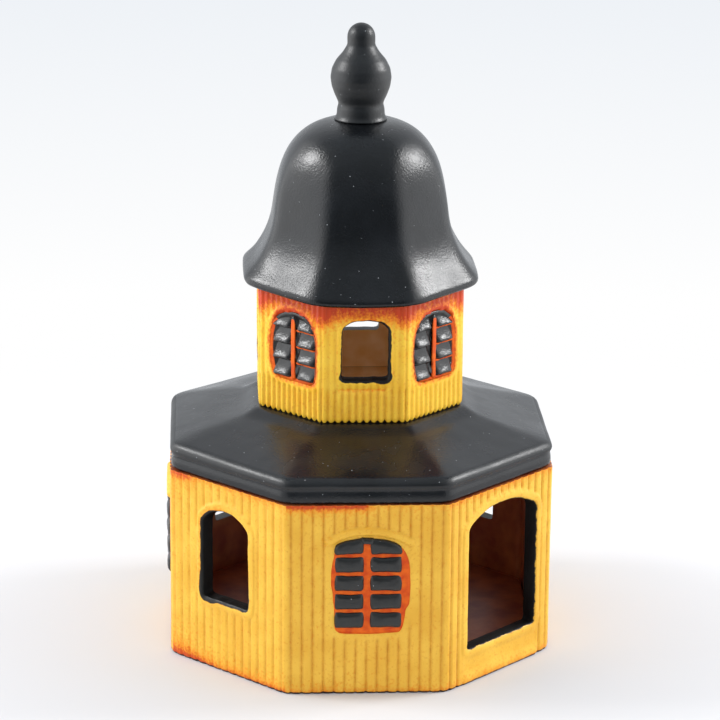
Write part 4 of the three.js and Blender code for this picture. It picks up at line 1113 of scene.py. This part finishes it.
def wall_materials(storey, mesh, at, materials):
    """Yellow outside, black in the cut openings and brown inside and under the foot."""
    kinds = np.zeros(len(mesh.polygons), np.int32)  # 0 outside, 1 cut, 2 inside
    for i, polygon in enumerate(mesh.polygons):
        corners = list(polygon.vertices)
        depth, level = at.depth[corners], at.level[corners]
        rim = level.max() < storey.foot + 0.01 or level.min() > storey.head - 0.01
        if depth.max() >= SKIN:
            kinds[i] = 2 if rim or depth.min() > storey.wall - SKIN else 1
    mesh.materials.clear()
    for material in materials:
        mesh.materials.append(material)
    mesh.polygons.foreach_set("material_index", kinds)
    mesh.set_sharp_from_angle(angle=SHARP)


print("edges past", round(math.degrees(SHARP)), "degrees stay sharp")

# %% [markdown]
# ## Lower wall
# Below, the boards stop at a smooth apron under the doorway, and a raised hood of clay arches over each
# blind window. The wash is heaviest at one corner of the foot and in a stroke under the eave, where the
# potter's brush was loaded.

# %% Marks on the lower wall
HOOD_ARCH = softened([(-14.4, 62.7), (-10.6, 65.2), (-5.6, 66.7), (0.3, 67.1), (6.4, 66.6), (12.2, 65.0),
                      (17.0, 62.4)], 3, 0.4)
APRON_HALF, APRON_HEAD = 23, 16
STEP_HEAD = (3.2, 4.2)  # heights between which the step at the apron's lower edge ends
FOOT_FADE, CORNER_FADE, LOADED_FADE = 2.2, 4, 9  # heights over which orange fades above the foot
STROKE_FADE, RUST_FADE = 1.9, 7  # depths over which it fades below the eave
FULL_WASH = 1.25  # past this the wash burns no redder


def lower_plain(at):
    """Where boards run: everywhere but the apron below the doorway, and faint on one side."""
    apron = (at.face == 0) & (np.abs(at.right - DOOR_MIDDLE) < APRON_HALF) & (at.level < APRON_HEAD)
    return np.where(apron, 0.0, np.where(at.face == 6, 0.7, 1.0))


def lower_carve(at):
    """The apron, a little sunk, and its lower edge, a low step near the foot."""
    apron = (at.face == 0) * (1 - ease(np.abs(at.right - DOOR_MIDDLE), APRON_HALF - 1.5, APRON_HALF))
    step = 0.45 * apron * (1 - ease(at.level, *STEP_HEAD))
    return step - 0.25 * apron * ease(at.level, STEP_HEAD[1], 6) * (at.level < APRON_HEAD)


def lower_bare_foot_and_shadow(at):
    """A dark line along the foot: partly bare clay, partly painted contact shadow where the wall meets the
    table.
    """
    return 0.75 - at.level


def lower_wash(at):
    """Orange at the foot, most of all at one corner, and a stroke under the eave."""
    left_face = at.face == 6
    loaded = 0.65 * ease(-at.right, 4, 26) * np.exp(-at.level / LOADED_FADE)
    corner = left_face * (0.5 * np.exp(-at.level / CORNER_FADE) + loaded)
    foot = 0.85 * np.exp(-at.level / FOOT_FADE) + corner
    under = np.maximum(LOWER.head - at.level - 0.8, 0)
    stroke = np.where(at.face == 7, 0.3 + 0.9 * ease(-at.right, -5, 3), 0.55)
    rust = left_face * 0.6 * ease(-at.right, 13, 27) * np.exp(-under / RUST_FADE)
    return np.clip(foot + stroke * np.exp(-under / STROKE_FADE) + rust, 0, FULL_WASH)


print("the line of a hood has", len(HOOD_ARCH), "points")

# %% Lower wall
hood = SimpleNamespace(width=3.0, proud=1.5, lines={face: HOOD_ARCH for face in lower_blinds})
lower_at = dressed_wall(LOWER, lower_mesh, lower_cuts, lower_blinds, hood, lower_plain, lower_wash,
                        lower_carve, lower_bare_foot_and_shadow)
lower_wall = run_tree(boards, lower_mesh, {
    "Groove Depth": 0.66 * MM, "Groove Share": 0.22, "Wander": 0.32, "Unevenness": 0.35 * MM, "Seed": 2.0,
    "Material": wall_yellow,
})
wall_materials(LOWER, lower_wall, lower_at, (wall_yellow, edge_black, inside_brown))
finished("lower_storey_glazed", lower_wall, "body", "yellow_glaze", "lower_storey")

# %% [markdown]
# ## Lantern wall
# The lantern is reeded, deeply below its windows and faintly beside them. A line was scratched where the
# reeds end, red-orange was wiped under the eave and round the blind windows, and black from the low roof
# ran up into the ends of the grooves.

# %% Marks on the lantern
REED_HEAD = LANTERN.foot + 13.4
SCRATCH_HALF = 1.1  # half the width of the scratched line
WASH_DEPTH = (1, 14.5)  # depths below the eave between which the red-orange wash fades
RUN_PLACE, RUN_DEPTH = (10, 15), (5, 22)  # where it runs further down: out from the middle, and how deep


def hood_line(outline):
    """The line over a blind window that its hood follows."""
    top = outline[outline[:, 1] > outline[:, 1].max() - 5]
    return top[np.argsort(top[:, 0])] + np.array([0, 2.2])


def lantern_plain(at):
    """Where reeds run: deep below the windows, faint beside them, and faint on one face."""
    faint = np.where(at.face == 0, 0.5, 1.0)
    return faint * (1 - 0.45 * ease(at.level, REED_HEAD - 0.6, REED_HEAD + 0.6))


def scratch(at):
    """A line scratched below each open window, where the reeds end."""
    line = np.clip(1 - np.abs(at.level - REED_HEAD) / SCRATCH_HALF, 0, 1) * (at.face % 2 == 1)
    return line * (1 - ease(np.abs(at.right + 0.5), 9, 10))


def lantern_carve(at):
    """The scratched line, pressed in."""
    return -0.6 * scratch(at)


def lantern_ink(at):
    """Black that ran up from the skirt roof into the ends of the grooves."""
    groove = np.abs(at.share * LANTERN.boards - np.round(at.share * LANTERN.boards))
    return 1.0 - (at.level - LANTERN.foot) - 3 * groove


def lantern_wash(at):
    """Red-orange under the eave, running down at the corners."""
    under = LANTERN.head - at.level
    run = 0.45 * ease(np.abs(at.right), *RUN_PLACE) * (1 - ease(under, *RUN_DEPTH))
    return FULL_WASH * (1 - ease(under, *WASH_DEPTH)) + run + 0.42 * scratch(at)


print("the reeds end", round(float(REED_HEAD - LANTERN.foot), 1), "mm up")

# %% Lantern wall
hood_lines = {face: hood_line(outline) for face, outline in lantern_blinds.items()}
small_hood = SimpleNamespace(width=2.0, proud=0.5, lines=hood_lines)
lantern_at = dressed_wall(LANTERN, lantern_mesh, lantern_cuts, lantern_blinds, small_hood, lantern_plain,
                          lantern_wash, lantern_carve, lantern_ink)
lantern_wall = run_tree(boards, lantern_mesh, {
    "Groove Depth": 0.85 * MM, "Groove Share": 0.46, "Wander": 0.3, "Unevenness": 0.35 * MM, "Seed": 6.0,
    "Material": lantern_yellow,
})
wall_materials(LANTERN, lantern_wall, lantern_at, (lantern_yellow, edge_black, inside_brown))
finished("lantern_storey_glazed", lantern_wall, "body", "yellow_glaze", "lantern_storey")

# %% [markdown]
# ## Blind windows
# Between the openings the mould has blind windows: two columns of black pillowed panes on a ground of orange
# glaze. Below, the panes swell out of the wall like cushions. On the lantern they are sunk, and each is
# scooped, so that the middle of its lower edge juts out. One Geometry Nodes tree makes both. It sets a
# pillow on each point of a window's grid, sways it a little and draws the top row down to an arch.

# %% Tree: one pillow
CROWN_FULLNESS = 0.45  # under 1, so that a pillow is full nearly to its edge
SCOOP_CURVE = 1.8
ARCH_CURVE = 3.0
PILLOW_BOWS = ((-0.05, 1.0), (0.12, 0.9))  # how the sides bow, and the width and height in the middle

panes_tree, given = new_tree("pillowed_panes", "Grid", {
    "Thickness": 0.0, "Squareness": 0.0, "Scoop": 0.0, "Sway": 0.0, "Ragged": 0.0, "Arch From": 0.0,
    "Arch To": 0.0, "Arch Rise": 0.0, "Arch Half": 0.0, "Seed": 0,
})
block = add(panes_tree, "GeometryNodeMeshCube", {"Size": (2, 2, 2), "Vertices X": 17, "Vertices Y": 15,
                                                 "Vertices Z": 2})
spot = add(panes_tree, "GeometryNodeInputPosition")
x = add(panes_tree, "ShaderNodeSeparateXYZ", {"Vector": spot})
y, z = x.node.outputs["Y"], x.node.outputs["Z"]
fall = []
for side in (x, y):
    reach = add(panes_tree, "ShaderNodeMath", {0: side}, operation="ABSOLUTE")
    power = add(panes_tree, "ShaderNodeMath", {0: reach, 1: given["Squareness"]}, operation="POWER")
    fall.append(add(panes_tree, "ShaderNodeMath", {0: 1.0, 1: power}, operation="SUBTRACT"))
crown = add(panes_tree, "ShaderNodeMath", {0: fall[0], 1: fall[1]}, operation="MULTIPLY")
crown = add(panes_tree, "ShaderNodeMath", {0: crown, 1: CROWN_FULLNESS}, operation="POWER")
rounded = []
for side, across, (bow, middle) in zip((x, y), (y, x), PILLOW_BOWS):
    square = add(panes_tree, "ShaderNodeMath", {0: across, 1: across}, operation="MULTIPLY")
    shrink = add(panes_tree, "ShaderNodeMath", {0: square, 1: bow, 2: middle}, operation="MULTIPLY_ADD")
    rounded.append(add(panes_tree, "ShaderNodeMath", {0: side, 1: shrink}, operation="MULTIPLY"))
below = add(panes_tree, "ShaderNodeMapRange", {"Value": y, "From Min": 1.0, "From Max": -1.0})
below = add(panes_tree, "ShaderNodeMath", {0: below, 1: SCOOP_CURVE}, operation="POWER")
below = add(panes_tree, "ShaderNodeMath", {0: below, 1: fall[0]}, operation="MULTIPLY")
height = add(panes_tree, "ShaderNodeMath", {0: z, 1: crown}, operation="MULTIPLY")
height = add(panes_tree, "ShaderNodeMath", {0: below, 1: given["Scoop"], 2: height},
             operation="MULTIPLY_ADD")
puffed = add(panes_tree, "ShaderNodeCombineXYZ", {"X": rounded[0], "Y": rounded[1], "Z": height})
pillow = add(panes_tree, "GeometryNodeSetPosition", {"Geometry": block, "Position": puffed})
print("a pillow starts from a block with", block.node.inputs["Vertices X"].default_value, "points across")

# %% Tree: pillows set out on a grid
dots = add(panes_tree, "GeometryNodeMeshToPoints", {"Mesh": given["Grid"]})
half = [add(panes_tree, "GeometryNodeInputNamedAttribute", {"Name": name}, data_type="FLOAT")
        for name in ("half_width", "half_height")]
size = add(panes_tree, "ShaderNodeCombineXYZ", {"X": half[0], "Y": half[1], "Z": given["Thickness"]})
chance = add(panes_tree, "FunctionNodeRandomValue", {0: (-1, -1, -1), 1: (1, 1, 1), "Seed": given["Seed"]},
             data_type="FLOAT_VECTOR")
sway = add(panes_tree, "ShaderNodeVectorMath", {0: chance, "Scale": given["Sway"]}, operation="SCALE")
set_out = add(panes_tree, "GeometryNodeInstanceOnPoints", {"Points": dots, "Instance": pillow,
                                                           "Rotation": sway, "Scale": size})
real = add(panes_tree, "GeometryNodeRealizeInstances", {"Geometry": set_out})
print("each pillow reads its half_width and half_height")

# %% Tree: the arch and the ragged edges
spot = add(panes_tree, "GeometryNodeInputPosition")
x = add(panes_tree, "ShaderNodeSeparateXYZ", {"Vector": spot})
high = add(panes_tree, "ShaderNodeMapRange", {"Value": x.node.outputs["Y"], "From Min": given["Arch From"],
                                              "From Max": given["Arch To"]})
wide = add(panes_tree, "ShaderNodeMath", {0: x, 1: given["Arch Half"]}, operation="DIVIDE")
wide = add(panes_tree, "ShaderNodeMath", {0: wide}, operation="ABSOLUTE")
wide = add(panes_tree, "ShaderNodeMath", {0: wide, 1: ARCH_CURVE}, operation="POWER")
drop = wide
for factor in (high, given["Arch Rise"], -1.0):
    drop = add(panes_tree, "ShaderNodeMath", {0: drop, 1: factor}, operation="MULTIPLY")
rough = wavering(panes_tree, given["Seed"], 4.5, 2.0, given["Ragged"])
lower_by = add(panes_tree, "ShaderNodeCombineXYZ", {"Y": drop})
move = add(panes_tree, "ShaderNodeVectorMath", {0: rough, 1: lower_by}, operation="ADD")
shaped = add(panes_tree, "GeometryNodeSetPosition", {"Geometry": real, "Offset": move})
joined = add(panes_tree, "GeometryNodeMergeByDistance", {"Geometry": shaped, "Distance": 0.01 * MM})
close_tree(panes_tree, joined, given["Material"])

# %% [markdown]
# ## Orange glaze
# The ground of a blind window is brushed with a red-orange glaze. To the eye it is streaky and half matt:
# strokes a few millimetres wide run from a deep to a bright orange, and their ridges catch a little light.

# %% Orange glaze
ground_orange, tree, place = blank_material("brushed_orange_glaze")
stroke = add(tree, "ShaderNodeTexNoise", {"Vector": place, "Scale": per_mm(3.5), "Detail": 5.0})
spread = add(tree, "ShaderNodeMapRange", {"Value": stroke, "From Min": NOISE_LOW, "From Max": NOISE_HIGH})
orange = add(tree, "ShaderNodeMix", {0: spread, 6: linear("#D24604"), 7: linear("#EC680C")}, out=2,
             data_type="RGBA")
skin = add(tree, "ShaderNodeBump", {"Height": stroke, "Strength": 1.0, "Distance": 0.15 * MM})
surface = add(tree, "ShaderNodeBsdfPrincipled", {
    "Base Color": orange, "Roughness": 0.5, "Normal": skin, "Specular IOR Level": 0.25,
})
add(tree, "ShaderNodeOutputMaterial", {"Surface": surface})
print("ground", ground_orange.name)

# %% [markdown]
# ## Grounds
# Glaze lies on the clay as a low cushion with a rounded rim, and so does each bar that the brush drew on
# it. A cushion is a few shrinking rings of an outline. Where a ground is sunk deep, in its middle, and at
# its head under the arch, its faces take the black pane glaze.

# %% A cushion of glaze
CUSHION_BASE = 0.3  # how far a cushion goes on below its lowest ring


def cushion(outline, heights):
    """A closed low cushion over an outline, from heights at the rim, inside it and at its middle."""
    middle = outline.mean(axis=0)
    bottom = min(heights) - CUSHION_BASE
    rings = [(1.0, bottom), (1.0, heights[0]), (0.92, heights[1]), (0.6, heights[2]), (0.25, heights[2])]
    points = np.vstack([np.column_stack([middle + (outline - middle) * s, np.full(len(outline), h)])
                        for s, h in rings] + [[[*middle, heights[2]], [*middle, bottom]]])
    count = len(outline)
    faces = []
    for i in range(count):
        j = (i + 1) % count
        faces += [[r * count + i, r * count + j, (r + 1) * count + j, (r + 1) * count + i]
                  for r in range(len(rings) - 1)]
        faces.append([(len(rings) - 1) * count + i, (len(rings) - 1) * count + j, len(points) - 2])
        faces.append([j, i, len(points) - 1])
    return points, faces


print("a square cushion has", len(cushion(tile, (0, 0, 0))[1]), "faces")

# %% Ground and bars
BLACK_BELOW = -1  # ground that is sunk further than this takes the black pane glaze


def ground_mesh(outline, plan, shift, seed):
    """The ground of a window and the bars that stand on it, as closed cushions in one mesh."""
    parts = [cushion(outline, plan.ground)]
    for left, right, low, high, proud in plan.bars:
        corners = np.array([(left, low), (right, low), (right, high), (left, high)]) + (shift, 0)
        parts.append(cushion(hand_cut(corners, 0.08, seed, 0.6), (proud - 0.2, proud, proud)))
    points, faces = np.empty((0, 3)), []
    for part_points, part_faces in parts:
        faces += [[i + len(points) for i in face] for face in part_faces]
        points = np.vstack([points, part_points])
    mesh = mesh_of("ground", (points * MM).tolist(), faces)
    mesh.shade_smooth()
    for material in (ground_orange, pane_black):
        mesh.materials.append(material)
    black = [min(points[face, 2]) < BLACK_BELOW or min(points[face, 1]) > plan.black_above
             for face in faces]
    mesh.polygons.foreach_set("material_index", np.array(black, np.int32))
    return mesh


print("ground sunk by more than", -BLACK_BELOW, "mm stays black")

# %% [markdown]
# ## Setting out the windows
# A window is drawn flat, with its panes as a grid of points that carry their own half width and height, and
# is then laid on its face of the wall. The same two plans, one for each storey, serve all eight windows.
# Only the seed and the outline differ, as they would from one hand to the next.

# %% Laying a drawing on a wall
SIDES = ["front", "front_right", "right", "back_right", "back", "back_left", "left", "front_left"]


def face_place(storey, face):
    """The matrix that lays a flat drawing, with +Z towards the eye, on a face of a storey."""
    return (Matrix.Rotation(EIGHTH * face, 4, "Z")
            @ Matrix.Translation((0, -sum(storey.apothem) / 2 * MM, 0))
            @ Matrix.Rotation(math.pi / 2, 4, "X"))


print("a window on", SIDES[1], "is turned by", round(math.degrees(EIGHTH)), "degrees")

# %% One blind window
def blind_window(label, storey, face, outline, plan, shift):
    """The ground and the panes of one blind window, as two pieces."""
    side = SIDES[face]
    ground = ground_mesh(outline, plan, shift, 60 + face)
    ground.transform(face_place(storey, face))
    finished(f"{label}_ground_{side}", ground, "body", "orange_glaze", f"{label}_sash_{side}")
    grid = [(0.5 * (a + b), 0.5 * (c + d), 0.5 * (b - a), 0.5 * (d - c))
            for a, b in plan.columns for c, d in plan.rows] + plan.extra
    start = mesh_of("grid", [(t * MM, v * MM, plan.out * MM) for t, v, _, _ in grid])
    store(start, half_width=[w * MM for _, _, w, _ in grid], half_height=[h * MM for _, _, _, h in grid])
    top_row = plan.rows[-1]
    panes = run_tree(panes_tree, start, {
        "Thickness": plan.thickness * MM, "Squareness": plan.squareness, "Scoop": plan.scoop,
        "Sway": plan.sway, "Ragged": plan.ragged * MM, "Arch From": top_row[0] * MM,
        "Arch To": top_row[1] * MM, "Arch Rise": plan.rise * MM, "Arch Half": plan.columns[1][1] * MM,
        "Seed": 50 + face, "Material": plan.glaze,
    })
    panes.transform(face_place(storey, face) @ Matrix.Translation((shift * MM, 0, 0)))
    finished(f"{label}_pillows_{side}", panes, "body", "pane_glaze", f"{label}_panes_{side}")


print("each window runs", panes_tree.name, "once")

# %% All the blind windows
def pane_rows(sill, head, count, bar):
    """The heights between which each row of panes lies."""
    pitch = (head - sill + bar) / count
    return [(sill + i * pitch, sill + (i + 1) * pitch - bar) for i in range(count)]


lower_plan = SimpleNamespace(
    columns=((-12.95, -0.55), (0.7, 14.1)), rows=pane_rows(27.1, 64.8, 5, 0.1),  # where the panes' edges lie
    extra=[(0.1, 63.2, 2.6, 1.5)],  # a blot that joins the two top panes: its middle and half sizes
    rise=4.6,  # how far the arch drops at the sides
    out=-0.9, thickness=2.4,  # where the middle of a pillow lies, out of the wall, and how thick it is
    squareness=3.2, scoop=0.0, sway=0.03, ragged=0.9,  # of each pillow
    ground=(0.1, 0.2, 0.2), bars=[], black_above=LOWER.head, glaze=pane_black,
)
for face, outline in lower_blinds.items():
    blind_window("lower", LOWER, face, outline, lower_plan, 0.0)
lantern_rows = pane_rows(SILL + 15.2, SILL + 42.4, 4, -0.6)
upright = (-0.9, 1.1, SILL + 14.6, SILL + 40.5, -0.1)  # left, right, foot and head of a bar, and its height
crossbars = [(1.0, 11.8, row[0] - 0.5, row[0] + 0.2, -0.4) for row in lantern_rows[1:]]
lantern_plan = SimpleNamespace(
    columns=((-11.9, -0.8), (1.0, 12.3)), rows=lantern_rows, extra=[], rise=5.6, out=-2.6, thickness=0.8,
    squareness=6.0, scoop=3.6, sway=0.03, ragged=0.6, ground=(-0.1, -0.8, -3.0), bars=[upright] + crossbars,
    black_above=SILL + 37.2, glaze=pane_silver,
)
for face, outline in lantern_blinds.items():
    blind_window("lantern", LANTERN, face, outline, lantern_plan, LANTERN_SHIFT[face])

# %% [markdown]
# ## Floor of the candle room
# The floor is a slab bedded on a ledge in the foot and glazed with the inside. It is an eight-sided profile
# like the roofs, with soft edges.

# %% Floor of the candle room
FLOOR_GAP = 0.35  # between the slab and the wall
floor_low, floor_high = box_mm("floor_plate")
FLOOR_REACH = LOWER.apothem[0] - LOWER.wall - FLOOR_GAP
floor_line = softened([(0, floor_low[2]), (FLOOR_REACH, floor_low[2]), (FLOOR_REACH, floor_high[2]),
                       (0, floor_high[2])], 0.8, 0.6)
floor_line[[0, -1], 0] = 0
slab = carried_round(floor_line, inside_brown, 160, 1.0, hip_softness=0.06, unevenness=0.2 * MM, seed=1.0)
finished("floor_glazed", slab, "body", "brown_glaze", "floor_plate")

# %% [markdown]
# ## Tealight finishes
# On the floor stands the tealight that the holder is made for: a drawn aluminium cup, cast paraffin, a
# braided cotton wick and the tinplate tab that holds it. Each finish is one plain colour with a fine
# grain. Metal takes its colour from what it mirrors, so its metallic value is 1.

# %% Tealight finishes
def plain_finish(name, colour, roughness, metallic, grain_size, grain_depth):
    """A plain finish with a fine grain."""
    material, tree, place = blank_material(name)
    grain = add(tree, "ShaderNodeTexNoise", {"Vector": place, "Scale": per_mm(grain_size), "Detail": 3.0})
    skin = add(tree, "ShaderNodeBump", {"Height": grain, "Strength": 1.0, "Distance": grain_depth * MM})
    surface = add(tree, "ShaderNodeBsdfPrincipled", {
        "Base Color": linear(colour), "Roughness": roughness, "Metallic": metallic, "Normal": skin,
    })
    add(tree, "ShaderNodeOutputMaterial", {"Surface": surface})
    return material


# Drawn foil: a bright, slightly soft mirror.
foil = plain_finish("drawn_aluminium_foil", "#D4D6D8", 0.3, 1.0, 0.7, 0.01)
# Cast wax: creamy, with a smooth dull sheen.
paraffin = plain_finish("cast_paraffin", "#F4F0E4", 0.4, 0.0, 2.5, 0.05)
# Braided cotton: matt and fibrous.
cotton = plain_finish("braided_cotton", "#E9E2CF", 0.9, 0.0, 0.5, 0.08)
# Stamped tinplate: a greyer, duller mirror than the foil.
tinplate = plain_finish("stamped_tinplate", "#B6B8BA", 0.35, 1.0, 0.8, 0.01)
print("tealight finishes", [m.name for m in (foil, paraffin, cotton, tinplate)])

# %% [markdown]
# ## Tealight
# Four turned pieces, all carried round the axis by the same tree as the roofs. Fine flutes stiffen the side
# of the foil cup, and the same flutes, few and twisted, make the braid of the wick.

# %% Tealight cup
cup_low, cup_high = box_mm("tealight_cup")
cup_foot, cup_rim, cup_reach = cup_low[2], cup_high[2], cup_high[0]
CUP_SHEET, CUP_DRAFT = 0.5, 0.4
cup_line = np.array([
    (0, cup_foot), (cup_reach - CUP_DRAFT - 0.8, cup_foot), (cup_reach - CUP_DRAFT, cup_foot + 0.8),
    (cup_reach - 0.25, cup_rim - 1.2), (cup_reach, cup_rim - 0.5), (cup_reach, cup_rim),
    (cup_reach - CUP_SHEET, cup_rim), (cup_reach - CUP_SHEET - 0.1, cup_rim - 0.9),
    (cup_reach - CUP_DRAFT - CUP_SHEET, cup_foot + CUP_SHEET), (0, cup_foot + CUP_SHEET),
])
fluted = ease(cup_line[:, 1], cup_foot + 0.2, cup_foot + 1)
fluted *= (1 - ease(cup_line[:, 1], cup_rim - 1.5, cup_rim)) * (cup_line[:, 0] > 1)
cup = carried_round(cup_line, foil, 240, 0.0, fluted, flutes=60.0, flute_depth=0.08 * MM)
finished("tealight_foil_cup", cup, "tealight", "cup_aluminium", "tealight_cup")

# %% Wax
wax_low, wax_high = box_mm("tealight_wax")
wax_reach, wax_foot, wax_top = wax_high[0], wax_low[2], wax_high[2]
wax_line = softened([(0, wax_foot), (wax_reach - CUP_DRAFT, wax_foot), (wax_reach - 0.05, wax_top + 0.1),
                     (wax_reach - 2, wax_top - 0.1), (0, wax_top)], 1.0, 0.5)
wax_line[[0, -1], 0] = 0
wax = carried_round(wax_line, paraffin, 96, unevenness=0.15 * MM, seed=4.0)
finished("tealight_paraffin", wax, "tealight", "candle_wax", "tealight_wax")

# %% Wick and its tab
WICK_STEPS = 40
WICK_CORE = 0.86  # the braid's strands stand out from this share of its reach
wick_low, wick_high = box_mm("tealight_wick")
wick_reach = wick_high[0]
levels = np.linspace(wick_low[2], wick_high[2], WICK_STEPS)
strand = np.stack([np.full(WICK_STEPS, WICK_CORE * wick_reach), levels], -1)
wick_line = np.vstack([[(0, levels[0])], strand, [(0, levels[-1] + 0.2)]])
braid = np.ones(len(wick_line))
braid[[0, -1]] = 0
wick = carried_round(wick_line, cotton, 32, 0.0, braid, flutes=4.0, flute_depth=0.13 * MM, twist=1.1 / MM)
finished("tealight_braid", wick, "tealight", "wick_cotton", "tealight_wick")

tab_low, tab_high = box_mm("wick_tab")
tab_reach, tab_foot, tab_head = tab_high[0], tab_low[2], tab_high[2]
TAB_SHEET, NECK_WALL, WICK_FIT = 0.6, 0.5, 0.2
neck = wick_reach + WICK_FIT + NECK_WALL
tab_line = np.array([
    (neck - NECK_WALL, tab_foot), (tab_reach, tab_foot), (tab_reach, tab_foot + TAB_SHEET),
    (neck + 0.3, tab_foot + TAB_SHEET), (neck, tab_foot + 1.0), (neck, tab_head),
    (neck - NECK_WALL, tab_head), (neck - NECK_WALL, tab_foot),
])
tab = carried_round(tab_line, tinplate, 48)
finished("tealight_wick_tab", tab, "tealight", "wick_tab_tinplate", "wick_tab")
